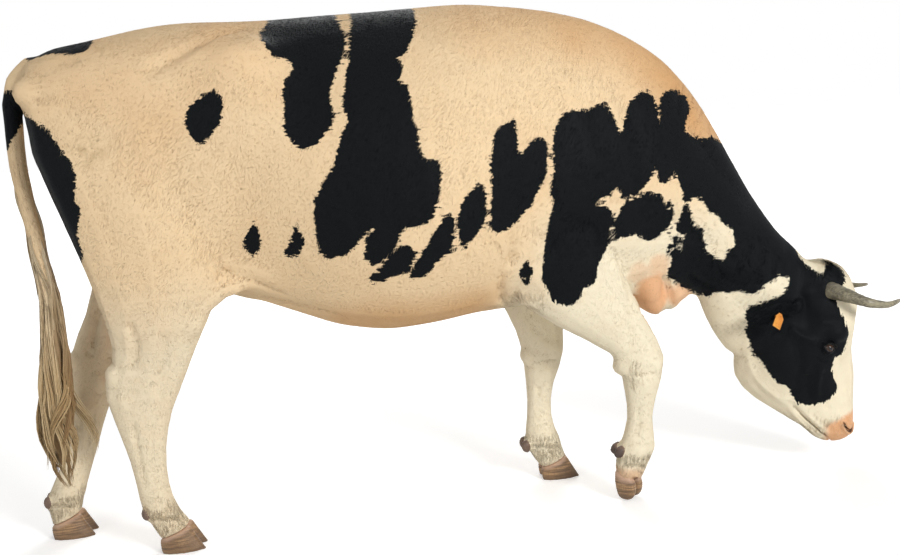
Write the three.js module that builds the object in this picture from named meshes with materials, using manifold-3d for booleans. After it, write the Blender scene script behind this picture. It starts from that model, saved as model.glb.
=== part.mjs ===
// A Holstein-type dairy cow, grazing: head down at the grass, near foreleg bent with its toe on the floor.
// Millimetres, +Z up, +X the way the cow walks, so -Y is its right side. The origin is on the floor,
// under the middle of the box that the whole animal fills.
import * as THREE from "three";
import { mergeVertices } from "three/addons/utils/BufferGeometryUtils.js";
import Module from "manifold-3d";

// ---- driving dimensions ----
const WITHERS_HEIGHT = 1446;
const HIP_HEIGHT = 1482;
const CHEST_FLOOR = 588;
const BARREL_HALF_WIDTH = 368;
const HIP_HALF_WIDTH = 276;
const SHOULDER_HALF_WIDTH = 262;
const HEAD_HALF_WIDTH = 110;
const EYE_RADIUS = 20;
const HORN_RADIUS = 31;
const TAIL_RADIUS = 23;
const SOLE_LENGTH = 128;
const EAR_SPREAD = 0.62;
const TAG_WIDTH = 40;
const TAG_HEIGHT = 50;
const CLAW_HEIGHT = 74;
const CLAW_HALF_WIDTH = 27;
const CANNON_HALF_WIDTH = 36;
const HIND_FOOT_OUT = 112;
const FORE_FOOT_OUT = 142;
const HEAD_TURN = THREE.MathUtils.degToRad(-8);
const GAP = 0.3;
const SLIVER = 0.8;

const SIDES = { right: -1, left: 1 };

// ---- materials ----
const finish = (color, roughness) => new THREE.MeshStandardMaterial({ color, roughness, metalness: 0 });
const coat = finish("#e3cfa4", 0.85);
const paleCoat = finish("#e9dcc0", 0.85);
const darkCoat = finish("#17191d", 0.8);
const bareSkin = finish("#dfa68a", 0.6);
const hoofHorn = finish("#8f6f4e", 0.5);
const hornKeratin = finish("#8d8a80", 0.45);
const eyeGloss = finish("#1c1512", 0.1);
const tailHair = finish("#b08c58", 0.9);
const tagPlastic = finish("#f0a032", 0.5);

// ---- solids ----
const wasm = await Module();
wasm.setup();

/** A closed three.js geometry as a solid that can be joined and cut. */
function solidOf(geometry) {
  const bare = geometry.clone();
  bare.deleteAttribute("normal");
  bare.deleteAttribute("uv");
  const merged = mergeVertices(bare, 1e-3);
  return new wasm.Manifold(
    new wasm.Mesh({
      numProp: 3,
      vertProperties: new Float32Array(merged.attributes.position.array),
      triVerts: new Uint32Array(merged.index.array),
    }),
  );
}

/** The solid's surface as a three.js geometry with flat faces. */
function geometryOf(solid) {
  const { vertProperties, triVerts } = solid.getMesh();
  const geometry = new THREE.BufferGeometry();
  geometry.setAttribute("position", new THREE.BufferAttribute(new Float32Array(vertProperties), 3));
  geometry.setIndex(new THREE.BufferAttribute(new Uint32Array(triVerts), 1));
  const flat = geometry.toNonIndexed();
  flat.computeVertexNormals();
  return flat;
}

const join = (solids) => solids.reduce((whole, solid) => whole.add(solid));

/** Moves every vertex of a closed sphere onto ring after ring: place(ringFraction, angle) gives the point. */
function sphereOnto(sides, rings, place, startTip, endTip) {
  const geometry = new THREE.SphereGeometry(1, sides, rings);
  const position = geometry.attributes.position;
  for (let i = 0; i < position.count; i++) {
    const row = Math.floor(i / (sides + 1));
    const angle = (2 * Math.PI * (i % (sides + 1))) / sides;
    let point = startTip;
    if (row === rings) point = endTip;
    else if (row > 0) point = place((row - 1) / (rings - 2), angle);
    position.setXYZ(i, point.x, point.y, point.z);
  }
  return geometry;
}

const flipIfInsideOut = (geometry) => {
  if (solidOf(geometry).volume() > 0) return geometry;
  const index = geometry.index.array;
  for (let i = 0; i < index.length; i += 3) [index[i], index[i + 1]] = [index[i + 1], index[i]];
  return geometry;
};

/**
 * A body or limb as a run of oval cross-sections. A section spans from a (top or front) to b (bottom or
 * back), both [x, z], and is `half` wide each way about y. `widest` is the share of b to a where it is
 * widest, and roundA and roundB are 2 for an ellipse, more for a squarer end and less for a sharper one.
 */
function loft(sections, sides, rings, { startTip = 0, endTip = 0 } = {}) {
  const through = (pick) => new THREE.CatmullRomCurve3(sections.map((s) => new THREE.Vector3(...pick(s))));
  const edgeA = through((s) => [s.a[0], s.y ?? 0, s.a[1]]);
  const edgeB = through((s) => [s.b[0], s.y ?? 0, s.b[1]]);
  const girth = through((s) => [s.half, s.widest ?? 0.5, 0]);
  const corner = through((s) => [s.roundA ?? 2, s.roundB ?? 2, 0]);
  const place = (t, angle) => {
    const a = edgeA.getPoint(t);
    const b = edgeB.getPoint(t);
    const size = girth.getPoint(t);
    const round = corner.getPoint(t);
    const up = Math.sin(angle);
    const across = Math.cos(angle);
    const power = 2 / (up >= 0 ? round.x : round.y);
    const middle = b.clone().lerp(a, size.y);
    const point = middle.clone().lerp(up >= 0 ? a : b, Math.abs(up) ** power);
    point.y += size.x * Math.sign(across) * Math.abs(across) ** power;
    return point;
  };
  const tip = (t, inner, length) => {
    const end = edgeA.getPoint(t).lerp(edgeB.getPoint(t), 0.5);
    const before = edgeA.getPoint(inner).lerp(edgeB.getPoint(inner), 0.5);
    return end.clone().addScaledVector(end.clone().sub(before).normalize(), length);
  };
  const geometry = sphereOnto(sides, rings, place, tip(0, 0.01, startTip), tip(1, 0.99, endTip));
  return solidOf(flipIfInsideOut(geometry));
}

/** A round tapering body along a smooth line through [x, y, z] points; radiusAt takes 0 to 1 along it. */
function taper(points, radiusAt, sides, rings, grow = 0) {
  const line = new THREE.CatmullRomCurve3(points.map((p) => new THREE.Vector3(...p)));
  const frames = line.computeFrenetFrames(rings - 2);
  const place = (t, angle) => {
    const k = Math.round(t * (rings - 2));
    const radius = radiusAt(t) + grow;
    return line
      .getPointAt(t)
      .addScaledVector(frames.normals[k], radius * Math.cos(angle))
      .addScaledVector(frames.binormals[k], radius * Math.sin(angle));
  };
  const start = line.getPointAt(0).addScaledVector(frames.tangents[0], -grow);
  const end = line.getPointAt(1).addScaledVector(frames.tangents[rings - 2], radiusAt(1) * 0.6 + grow);
  return solidOf(flipIfInsideOut(sphereOnto(sides, rings, place, start, end)));
}

/** An ellipsoid with half axes [x, y, z] about a centre [x, y, z]. */
const ellipsoid = (centre, halfAxes, sides = 12, rings = 7) =>
  solidOf(new THREE.SphereGeometry(1, sides, rings).scale(...halfAxes).translate(...centre));

/** A box given by its two far corners. */
function boxBetween([x0, y0, z0], [x1, y1, z1]) {
  const box = new THREE.BoxGeometry(x1 - x0, y1 - y0, z1 - z0);
  return solidOf(box.translate((x0 + x1) / 2, (y0 + y1) / 2, (z0 + z1) / 2));
}

/** Parts a solid by the plane through `through` whose normal is `normal`, a thin gap apart. */
function part(solid, through, normal) {
  const n = new THREE.Vector3(...normal).normalize();
  const offset = n.dot(new THREE.Vector3(...through));
  return {
    ahead: solid.trimByPlane(n.toArray(), offset + GAP / 2),
    behind: solid.trimByPlane(n.clone().negate().toArray(), -offset + GAP / 2),
  };
}

/** The largest separate body of a solid, which drops slivers that a cut leaves behind. */
const mainBody = (solid) => solid.decompose().sort((p, q) => q.volume() - p.volume())[0];

// ---- trunk and neck: one run of sections from the pin bones over the withers and down to the throat ----
const trunkAndNeck = [
  { a: [-1172, HIP_HEIGHT - 130], b: [-1140, 1215], half: 82, widest: 0.55 },
  { a: [-1130, HIP_HEIGHT - 62], b: [-1090, 1110], half: 150, widest: 0.62, roundA: 2.3 },
  { a: [-1050, HIP_HEIGHT - 36], b: [-1010, 985], half: 200, widest: 0.64, roundA: 2.3 },
  { a: [-920, HIP_HEIGHT - 20], b: [-900, 850], half: 242, widest: 0.64, roundA: 2.3 },
  { a: [-780, HIP_HEIGHT + 2], b: [-775, 758], half: 262, widest: 0.64, roundA: 2.3 },
  { a: [-650, HIP_HEIGHT], b: [-655, 700], half: HIP_HALF_WIDTH - 4, widest: 0.66, roundA: 2.4 },
  { a: [-530, HIP_HEIGHT - 9], b: [-540, 662], half: HIP_HALF_WIDTH + 6, widest: 0.62, roundA: 2.3 },
  { a: [-390, HIP_HEIGHT - 5], b: [-400, 598], half: BARREL_HALF_WIDTH - 42, widest: 0.52, roundA: 2.1 },
  { a: [-240, HIP_HEIGHT - 5], b: [-245, 557], half: BARREL_HALF_WIDTH - 8, widest: 0.46, roundA: 2 },
  { a: [-80, HIP_HEIGHT - 3], b: [-85, 562], half: BARREL_HALF_WIDTH, widest: 0.44, roundA: 1.95 },
  { a: [80, HIP_HEIGHT - 1], b: [70, CHEST_FLOOR - 6], half: BARREL_HALF_WIDTH - 22, widest: 0.45 },
  { a: [215, WITHERS_HEIGHT + 20], b: [210, CHEST_FLOOR], half: BARREL_HALF_WIDTH - 78, roundA: 1.8 },
  { a: [345, WITHERS_HEIGHT - 2], b: [350, CHEST_FLOOR - 8], half: SHOULDER_HALF_WIDTH - 8, roundA: 1.7 },
  { a: [475, 1403], b: [480, 560], half: SHOULDER_HALF_WIDTH - 30, widest: 0.5, roundA: 1.7, roundB: 1.8 },
  { a: [595, 1335], b: [600, 532], half: SHOULDER_HALF_WIDTH - 66, widest: 0.52, roundA: 1.7, roundB: 1.6 },
  { a: [700, 1246], b: [690, 545], half: 162, widest: 0.52, roundA: 1.7, roundB: 1.6 },
  { a: [798, 1088], b: [722, 574], half: 134, widest: 0.52, roundA: 1.7, roundB: 1.6 },
  { a: [868, 945], b: [741, 515], half: 120, widest: 0.52, roundA: 1.7, roundB: 1.6 },
  { a: [934, 830], b: [769, 452], half: 112, widest: 0.52, roundA: 1.7, roundB: 1.7 },
  { a: [1000, 732], b: [802, 392], half: 108, widest: 0.52, roundA: 1.8, roundB: 1.8 },
  { a: [1062, 662], b: [862, 345], half: 100, widest: 0.52, roundA: 1.9, roundB: 1.9 },
  { a: [1110, 590], b: [950, 350], half: 78, widest: 0.52 },
];

/** Rump, hip, flank and chest forms that stand out from the run of sections, the same on both sides. */
function trunkForms(side) {
  const flankFold = [
    [-772, side * 160, 640],
    [-730, side * 160, 708],
    [-680, side * 158, 742],
    [-630, side * 155, 758],
    [-570, side * 152, 758],
    [-500, side * 146, 748],
    [-440, side * 138, 732],
  ];
  return [
    taper(flankFold, (t) => 40 - 16 * t, 7, 7),
    ellipsoid([-545, side * (HIP_HALF_WIDTH - 52), 1354], [115, 56, 72]),
    ellipsoid([-1105, side * 128, 1322], [62, 48, 52]),
    ellipsoid([622, side * 22, 566], [78, 50, 60]),
  ];
}

/** The udder between the thighs, with its four teats. */
function udderForms() {
  const upright = new THREE.CapsuleGeometry(11, 58, 2, 6).rotateX(Math.PI / 2);
  const teat = (x, y) => solidOf(upright.clone().translate(x, y, 640));
  const teats = [-925, -825].flatMap((x) => [teat(x, -30), teat(x, 30)]);
  return [ellipsoid([-865, 0, 775], [150, 57, 138], 12, 8), ...teats];
}

// ---- feet: a foot turns about its toe, and the leg ends at the coronet, where the two claws begin ----
const coronetFront = [SOLE_LENGTH * 0.25, CLAW_HEIGHT];
const coronetBack = [-SOLE_LENGTH * 0.44, CLAW_HEIGHT * 0.56];
const toePoint = [SOLE_LENGTH * 0.57, 0];
const heelPoint = [-SOLE_LENGTH * 0.43, 0];

/** Where a point of the foot's own side view comes to in the body's, [x, z]. */
function onFoot(foot, [x, z]) {
  const c = Math.cos(foot.pitch);
  const s = Math.sin(foot.pitch);
  const dx = (x - toePoint[0]) * foot.size;
  const dz = z * foot.size;
  return [foot.toe[0] + c * dx - s * dz, foot.toe[1] + s * dx + c * dz];
}

/** One of the two claws; inner is -1 or 1, the side of the cleft that it is on. */
function claw(foot, inner) {
  const between = (low, high, share) => low.map((v, i) => v + (high[i] - v) * share);
  const level = (share, bulge, half) => ({
    a: onFoot(foot, between(toePoint, coronetFront, share)),
    b: onFoot(foot, between([heelPoint[0] - bulge, 0], coronetBack, share)),
    y: foot.y + inner * (half + 1.5),
    half,
    roundA: 1.7,
    roundB: 2.3,
  });
  const full = CLAW_HALF_WIDTH * foot.size;
  const body = loft([level(0, 0, full), level(0.5, 3, full), level(0.985, 0, full - 2)], 10, 5);
  return body.trimByPlane([0, 0, 1], 0);
}

/** A dewclaw, a short blunt cone on the back of the fetlock. */
function dewclaw(leg, side, grow) {
  const { foot, fetlock } = leg;
  const lean = foot.pitch * 0.8;
  const shape = new THREE.SphereGeometry(1, 7, 4);
  shape.scale(17 + grow, 13 + grow, 23 + grow).rotateY(-lean);
  return solidOf(shape.translate(fetlock[0], foot.y + side * 21, fetlock[1]));
}

// ---- legs: front edge, back edge, middle line and half width of each section, top to coronet ----
const hindHalfWidths = [95, 112, 110, 94, 80, 62, 50, 47, 45, 38, CANNON_HALF_WIDTH, 37, 46, 45];
const foreHalfWidths = [60, 96, 104, 102, 90, 72, 58, 51, 54, 44, CANNON_HALF_WIDTH, 35, 45, 43];

function legSections(leg) {
  const { front, back, halfWidths, hipOut, foot } = leg;
  const sections = front.map((a, i) => {
    const down = i / (front.length - 1);
    const out = hipOut + (Math.abs(foot.y) - hipOut) * Math.min(1, down * 1.6);
    const swell = leg.side * 24 * Math.sin(Math.PI * Math.min(1, down * 1.9));
    return { a, b: back[i], y: leg.side * out + swell, half: halfWidths[i], roundA: 2, roundB: 2.1 };
  });
  sections.push({
    a: onFoot(foot, coronetFront),
    b: onFoot(foot, coronetBack),
    y: foot.y,
    half: CLAW_HALF_WIDTH * 2 * foot.size,
    roundA: 2.2,
    roundB: 2.6,
  });
  return sections;
}

const legs = {
  hind_right: {
    side: -1,
    hipOut: 128,
    foot: { toe: [-792, 0], pitch: 0, size: 1, y: -HIND_FOOT_OUT },
    fetlock: [-950, 118],
    halfWidths: hindHalfWidths,
    front: [
      [-620, 1240], [-604, 1100], [-604, 950], [-644, 805], [-694, 695], [-744, 608], [-784, 530],
      [-820, 458], [-848, 398], [-866, 340], [-877, 280], [-880, 215], [-874, 158], [-858, 112],
    ],
    back: [
      [-1150, 1295], [-1134, 1130], [-1074, 950], [-1030, 800], [-1002, 690], [-990, 620], [-994, 566],
      [-1024, 505], [-1026, 452], [-1008, 378], [-992, 310], [-977, 240], [-972, 172], [-956, 104],
    ],
    split: { through: [-890, 0, 585], normal: [0.35, 0, 1] },
  },
  hind_left: {
    side: 1,
    hipOut: 128,
    foot: { toe: [-1142, 0], pitch: 0, size: 1, y: HIND_FOOT_OUT },
    fetlock: [-1272, 112],
    halfWidths: hindHalfWidths,
    front: [
      [-635, 1240], [-655, 1100], [-695, 950], [-762, 805], [-828, 700], [-900, 610], [-972, 530],
      [-1028, 450], [-1060, 390], [-1088, 325], [-1112, 262], [-1134, 208], [-1155, 155], [-1170, 112],
    ],
    back: [
      [-1140, 1290], [-1124, 1130], [-1086, 940], [-1072, 800], [-1095, 690], [-1128, 625], [-1160, 545],
      [-1180, 478], [-1182, 400], [-1192, 325], [-1212, 258], [-1238, 195], [-1275, 138], [-1280, 86],
    ],
    split: { through: [-1040, 0, 560], normal: [0.45, 0, 1] },
  },
  fore_right: {
    side: -1,
    hipOut: 105,
    foot: { toe: [449, -5], pitch: THREE.MathUtils.degToRad(-58), size: 0.88, y: -FORE_FOOT_OUT },
    fetlock: [424, 152],
    halfWidths: foreHalfWidths,
    front: [
      [400, 1270], [440, 1100], [466, 930], [454, 800], [468, 705], [492, 630], [522, 560],
      [558, 482], [579, 412], [561, 342], [537, 268], [531, 218], [540, 164], [514, 110],
    ],
    back: [
      [290, 1270], [215, 1080], [125, 900], [95, 770], [128, 655], [238, 560], [345, 492],
      [420, 440], [449, 368], [452, 322], [458, 266], [450, 218], [430, 170], [420, 138],
    ],
    split: { through: [460, 0, 440], normal: [-0.5, 0, 1] },
  },
  fore_left: {
    side: 1,
    hipOut: 105,
    foot: { toe: [356, 0], pitch: 0, size: 0.95, y: FORE_FOOT_OUT },
    fetlock: [192, 112],
    halfWidths: foreHalfWidths,
    front: [
      [400, 1270], [430, 1100], [448, 930], [428, 800], [402, 695], [368, 595], [343, 500],
      [336, 410], [318, 350], [292, 290], [284, 228], [286, 180], [300, 138], [308, 106],
    ],
    back: [
      [290, 1270], [200, 1080], [110, 900], [76, 770], [102, 650], [150, 570], [184, 490],
      [203, 410], [206, 350], [208, 290], [206, 228], [199, 178], [192, 128], [204, 84],
    ],
    split: { through: [270, 0, 470], normal: [0, 0, 1] },
  },
};

// ---- head: hangs straight down, its face to +X, and turns a little to the cow's right about the poll ----
const headSections = [
  { a: [1130, 648], b: [990, 625], half: 62 },
  { a: [1188, 606], b: [938, 560], half: 90, widest: 0.6, roundA: 2.4 },
  { a: [1210, 545], b: [892, 468], half: HEAD_HALF_WIDTH - 8, widest: 0.62, roundA: 2.6 },
  { a: [1213, 475], b: [850, 392], half: HEAD_HALF_WIDTH, widest: 0.64, roundA: 2.8, roundB: 1.9 },
  { a: [1203, 405], b: [834, 318], half: HEAD_HALF_WIDTH + 2, widest: 0.62, roundA: 2.6, roundB: 1.9 },
  { a: [1201, 338], b: [856, 262], half: HEAD_HALF_WIDTH - 14, widest: 0.5, roundA: 2.2, roundB: 1.9 },
  { a: [1206, 272], b: [904, 213], half: HEAD_HALF_WIDTH - 30, widest: 0.48, roundA: 2.2 },
  { a: [1202, 212], b: [961, 174], half: HEAD_HALF_WIDTH - 42, widest: 0.5, roundA: 2.2 },
  { a: [1199, 160], b: [1004, 143], half: HEAD_HALF_WIDTH - 46, widest: 0.54, roundA: 2.3 },
  { a: [1194, 121], b: [1042, 118], half: HEAD_HALF_WIDTH - 40, widest: 0.58, roundA: 2.5 },
  { a: [1186, 92], b: [1064, 92], half: HEAD_HALF_WIDTH - 46, widest: 0.58, roundA: 2.4 },
  { a: [1166, 76], b: [1096, 73], half: 40, widest: 0.55 },
];
const EYE = { x: 1101, out: 99, z: 385 };

/** The horns sweep out, forward and a little up; the left one sits a touch higher. */
function horn(side, grow = 0) {
  const lift = side === SIDES.left ? 14 : 0;
  const line = [
    [1090, side * 56, 558 + lift],
    [1120, side * 92, 552 + lift],
    [1160, side * 129, 540 + lift],
    [1213, side * 152, 522 + lift],
    [1272, side * 138, 510 + lift],
    [1318, side * 107, 515 + lift],
  ];
  return taper(line, (t) => HORN_RADIUS * (1 - 0.86 * t ** 0.9), 10, 10, grow);
}

/** An ear: a flat leaf that hangs back from the side of the head, cupped a little. */
function ear(side) {
  const sections = [
    { a: [1030, 545], b: [1030, 500], half: 14 },
    { a: [985, 556], b: [985, 488], half: 11 },
    { a: [935, 562], b: [935, 476], half: 9 },
    { a: [885, 556], b: [885, 474], half: 8 },
    { a: [845, 541], b: [845, 486], half: 7 },
    { a: [820, 524], b: [820, 504], half: 5 },
  ];
  const outAt = (x) => 104 + (1030 - x) * EAR_SPREAD;
  return loft(sections.map((s) => ({ ...s, y: side * outAt(s.a[0]) })), 10, 9, { endTip: 3 });
}

/** The tag: a thin plate with clipped corners that hangs just clear of the right ear's outer face. */
function earTag() {
  const clip = 10;
  const right = TAG_WIDTH / 2;
  const top = TAG_HEIGHT / 2;
  const outline = new THREE.Shape([
    new THREE.Vector2(clip - right, top),
    new THREE.Vector2(right - clip, top),
    new THREE.Vector2(right, top - clip),
    new THREE.Vector2(right, -top),
    new THREE.Vector2(-right, -top),
    new THREE.Vector2(-right, top - clip),
  ]);
  const plate = new THREE.ExtrudeGeometry(outline, { depth: 2, bevelEnabled: false });
  const middleX = 938;
  const out = 104 + (1030 - middleX) * EAR_SPREAD + 13;
  return solidOf(plate.rotateX(Math.PI / 2).rotateZ(Math.atan(EAR_SPREAD)).translate(middleX, -out, 498));
}

const turnHead = (solid) => {
  const about = new THREE.Matrix4().makeTranslation(1000, 0, 0);
  const turn = new THREE.Matrix4().makeRotationZ(HEAD_TURN);
  const back = new THREE.Matrix4().makeTranslation(-1000, 0, 0);
  return solid.transform(about.multiply(turn).multiply(back).elements);
};
const eyeBall = (side, grow = 0) => {
  const radius = EYE_RADIUS + grow;
  return turnHead(ellipsoid([EYE.x, side * EYE.out, EYE.z], [radius, radius, radius], 10, 7));
};

// ---- tail: hangs from the rump to its switch of long hair ----
const tailLine = [
  [-1085, 0, 1395],
  [-1150, 0, 1398],
  [-1190, -4, 1345],
  [-1199, -8, 1240],
  [-1202, -10, 1130],
  [-1192, -12, 1020],
  [-1177, -14, 900],
  [-1163, -16, 760],
  [-1163, -18, 640],
  [-1170, -20, 540],
];
const tail = taper(tailLine, (t) => TAIL_RADIUS * (1.3 - 0.5 * t), 10, 18);
const switchLine = [
  [-1163, -18, 660],
  [-1170, -20, 560],
  [-1178, -20, 470],
  [-1188, -20, 390],
  [-1194, -20, 310],
  [-1185, -20, 215],
];
const tailSwitch = taper(switchLine, (t) => 20 + 30 * Math.sin(Math.PI * (0.08 + 0.84 * t)) - 12 * t, 9, 11);

// ---- the whole animal, then its cuts ----
const legBodies = Object.values(legs).map((leg) => loft(legSections(leg), 12, 18));
const neckAndTrunk = loft(trunkAndNeck, 22, 25, { startTip: 12, endTip: 20 });
const headBody = turnHead(loft(headSections, 18, 17, { startTip: 20, endTip: 6 }));
const browForms = Object.values(SIDES).map((side) =>
  turnHead(ellipsoid([1124, side * 86, 419], [50, 32, 27], 10, 6)),
);
const forms = Object.values(SIDES).flatMap(trunkForms);
const ears = Object.values(SIDES).map((side) => turnHead(ear(side)));
const whole = [neckAndTrunk, headBody, tail, ...legBodies, ...forms, ...udderForms(), ...browForms, ...ears];
// Joining leaves slivers along the seams, which go here.
let body = join(whole).asOriginal().simplify(SLIVER);

const cow = new THREE.Group();
function add(name, solid, material) {
  const mesh = new THREE.Mesh(geometryOf(mainBody(solid)), material);
  mesh.name = name;
  cow.add(mesh);
}

for (const [sideName, side] of Object.entries(SIDES)) {
  body = body.subtract(turnHead(horn(side, GAP))).subtract(eyeBall(side, GAP));
  add(`horn_${sideName}`, turnHead(horn(side)), hornKeratin);
  add(`eye_${sideName}`, eyeBall(side), eyeGloss);
}

for (const [name, leg] of Object.entries(legs)) {
  for (const inner of [-1, 1]) {
    const clawName = inner === leg.side ? "outer" : "inner";
    add(`claw_${name}_${clawName}`, claw(leg.foot, inner), hoofHorn);
    body = body.subtract(dewclaw(leg, inner, GAP));
    add(`dewclaw_${name}_${clawName}`, dewclaw(leg, inner, 0), hoofHorn);
  }
}

/** Takes the part of the body inside a box off it, as a piece of its own; `place` can turn the box. */
function takeFrom(low, high, place = (solid) => solid) {
  const piece = body.intersect(place(boxBetween(low, high)));
  body = body.subtract(place(boxBetween(low.map((v) => v - GAP), high.map((v) => v + GAP))));
  return piece;
}

add("udder", takeFrom([-1040, -59, 560], [-690, 59, 768]), bareSkin);

const tailCut = part(takeFrom([-1300, -44, 500], [-1156, 44, 1420]), [-1163, -18, 655], [0, 0, 1]);
add("tail", tailCut.ahead, paleCoat);
add("tail_switch", tailSwitch.trimByPlane([0, 0, -1], -655 + GAP / 2), tailHair);

const legBoxes = {
  hind_right: [[-1400, -400, -10], [-668, -44, 1110]],
  hind_left: [[-1400, 44, -10], [-668, 400, 1110]],
  fore_right: [[40, -400, -10], [640, -78, 800]],
  fore_left: [[40, 78, -10], [640, 400, 800]],
};
for (const [name, leg] of Object.entries(legs)) {
  const cut = part(takeFrom(...legBoxes[name]), leg.split.through, leg.split.normal);
  add(`upper_leg_${name}`, cut.ahead, coat);
  add(`lower_leg_${name}`, cut.behind, paleCoat);
}

for (const [sideName, side] of Object.entries(SIDES)) {
  const across = [112 * side, 330 * side].sort((p, q) => p - q);
  add(`ear_${sideName}`, takeFrom([700, across[0], 440], [1012, across[1], 620], turnHead), darkCoat);
}

const neckCut = part(body, [705, 0, 900], [1, 0, -0.12]);
add("trunk", neckCut.behind, coat);
const headCut = part(neckCut.ahead, [985, 0, 480], [0.78, 0, -0.62]);
add("neck", headCut.behind, darkCoat);
const muzzleCut = part(headCut.ahead, [1100, 0, 176], [0.12, 0, -1]);
add("head", muzzleCut.behind, darkCoat);
add("muzzle", muzzleCut.ahead, bareSkin);
add("ear_tag", turnHead(earTag()), tagPlastic);

// The floor is at zero already; along and across, the origin goes under the middle of the animal.
const box = new THREE.Box3().setFromObject(cow);
const middle = box.getCenter(new THREE.Vector3());
cow.position.set(-middle.x, -middle.y, -box.min.z);
cow.name = "cow";

export default cow;
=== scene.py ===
"""A grazing dairy cow dressed over its CAD solids: skin, coat, eyes, horns, hooves, ear tag and tail switch.

Laid out as an add-on and run as a script. Metres, +Z up, +X the way the cow walks, so -Y is its right side.
"""

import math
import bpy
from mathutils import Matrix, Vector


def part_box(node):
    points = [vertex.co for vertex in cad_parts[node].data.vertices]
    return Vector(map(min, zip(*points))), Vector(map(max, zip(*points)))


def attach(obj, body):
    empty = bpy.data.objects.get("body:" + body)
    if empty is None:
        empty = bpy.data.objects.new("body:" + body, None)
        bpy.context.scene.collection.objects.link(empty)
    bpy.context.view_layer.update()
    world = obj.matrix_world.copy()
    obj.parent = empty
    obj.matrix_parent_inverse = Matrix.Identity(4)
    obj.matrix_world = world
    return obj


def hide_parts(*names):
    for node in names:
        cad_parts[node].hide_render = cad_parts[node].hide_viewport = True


bl_info = {
    "name": "Grazing Cow",
    "version": (1, 0, 0),
    "blender": (4, 5, 0),
    "location": "View3D > Sidebar > Cow",
    "description": "Dresses the solids of a grazing cow in skin, coat, horn, hoof and eyes",
    "category": "Object",
}

from itertools import product

import bmesh
import bpy
import numpy as np
from mathutils import Matrix, Vector
from mathutils.bvhtree import BVHTree

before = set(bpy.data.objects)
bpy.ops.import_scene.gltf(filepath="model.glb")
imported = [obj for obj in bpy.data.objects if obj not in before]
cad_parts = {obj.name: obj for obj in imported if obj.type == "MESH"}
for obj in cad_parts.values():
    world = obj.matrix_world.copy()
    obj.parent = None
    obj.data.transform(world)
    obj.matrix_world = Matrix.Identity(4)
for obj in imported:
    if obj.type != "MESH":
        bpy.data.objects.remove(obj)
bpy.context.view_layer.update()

RIGHT, LEFT = -1, 1
SIDES = {"right": RIGHT, "left": LEFT}
LEGS = ("hind_right", "hind_left", "fore_right", "fore_left")
CLAW_SIDES = ("outer", "inner")
FLESH = ["trunk", "neck", "head", "muzzle", "ear_right", "ear_left", "udder", "tail"]
FLESH += [f"{part}_leg_{leg}" for part in ("upper", "lower") for leg in LEGS]

# The head has axes of its own, about a pivot on the floor line below the poll.
HEAD_PIVOT = np.array([0.978, 0.0, 0.0])
HEAD_TURN = math.radians(-8)
EYE = np.array([0.101, 0.099, 0.385])
EYE_RADIUS = 0.02
HORN_BASE = np.array([0.098, 0.066, 0.556])


# ---- settings ----
class CowSizes(bpy.types.PropertyGroup):
    """Sizes that a user would change."""

    voxel: bpy.props.FloatProperty(
        name="Voxel", description="Grain of the skin while it is shaped", default=0.005, unit="LENGTH"
    )
    coat_depth: bpy.props.FloatProperty(
        name="Coat depth", description="How far the skin lies inside the solids", default=0.004, unit="LENGTH"
    )
    skin_triangles: bpy.props.IntProperty(
        name="Skin triangles", description="Triangles left in the skin", default=190000
    )
    tuft_length: bpy.props.FloatProperty(
        name="Tuft length", description="Length of a tuft on the trunk", default=0.012, unit="LENGTH"
    )
    tuft_width: bpy.props.FloatProperty(
        name="Tuft width", description="Width of a tuft on the trunk", default=0.0018, unit="LENGTH"
    )
    tufts: bpy.props.IntProperty(name="Tufts", description="Tufts in a full coat piece", default=46000)
    horn_rings: bpy.props.IntProperty(name="Horn rings", description="Growth rings on a horn", default=9)
    switch_locks: bpy.props.IntProperty(name="Locks", description="Locks in the tail's switch", default=1000)


def colour(name, description, default):
    return bpy.props.FloatVectorProperty(
        name=name, description=description, subtype="COLOR", size=3, min=0, max=1, default=default
    )


class CowColours(bpy.types.PropertyGroup):
    """Colours that a user would change, linear."""

    cream: colour("Cream", "Pale coat", (0.8, 0.6, 0.37))
    milk: colour("Milk", "Palest coat, on the legs, belly and face", (0.84, 0.75, 0.56))
    # Gold also serves as warm painted shade in the hollows of hip and rump and, in part, under the belly.
    gold: colour("Gold", "Sun-bleached coat on the withers and crest", (0.6, 0.32, 0.13))
    black: colour("Black", "Dark coat", (0.0055, 0.0065, 0.0075))
    pink: colour("Pink", "Bare skin", (0.74, 0.41, 0.22))
    stain: colour("Stain", "Mud and grass on the knees and feet", (0.36, 0.24, 0.11))
    horn_pale: colour("Pale horn", "Horn at its streaks and tip", (0.33, 0.29, 0.19))
    horn_dark: colour("Dark horn", "Horn at its base and flecks", (0.085, 0.075, 0.05))
    hoof_pale: colour("Pale hoof", "Hoof wall", (0.4, 0.24, 0.115))
    hoof_dark: colour("Dark hoof", "Hoof rings and sole edge", (0.13, 0.075, 0.04))
    iris: colour("Iris", "Eye", (0.022, 0.009, 0.004))
    switch: colour("Switch", "Long hair of the tail", (0.5, 0.34, 0.16))
    tag: colour("Tag", "Ear tag", (0.6, 0.2, 0.015))


def sizes():
    return bpy.context.scene.cow_sizes


def colours():
    return bpy.context.scene.cow_colours


# ---- arrays ----
def read_vectors(items, name):
    values = np.empty(len(items) * 3, np.float32)
    items.foreach_get(name, values)
    return values.reshape(-1, 3).astype(np.float64)


def to_head(points):
    c, s = math.cos(-HEAD_TURN), math.sin(-HEAD_TURN)
    p = np.atleast_2d(points) - HEAD_PIVOT
    return np.column_stack([c * p[:, 0] - s * p[:, 1], s * p[:, 0] + c * p[:, 1], p[:, 2]])


def turn_from_head(vectors):
    c, s = math.cos(HEAD_TURN), math.sin(HEAD_TURN)
    v = np.atleast_2d(vectors)
    return np.column_stack([c * v[:, 0] - s * v[:, 1], s * v[:, 0] + c * v[:, 1], v[:, 2]])


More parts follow.
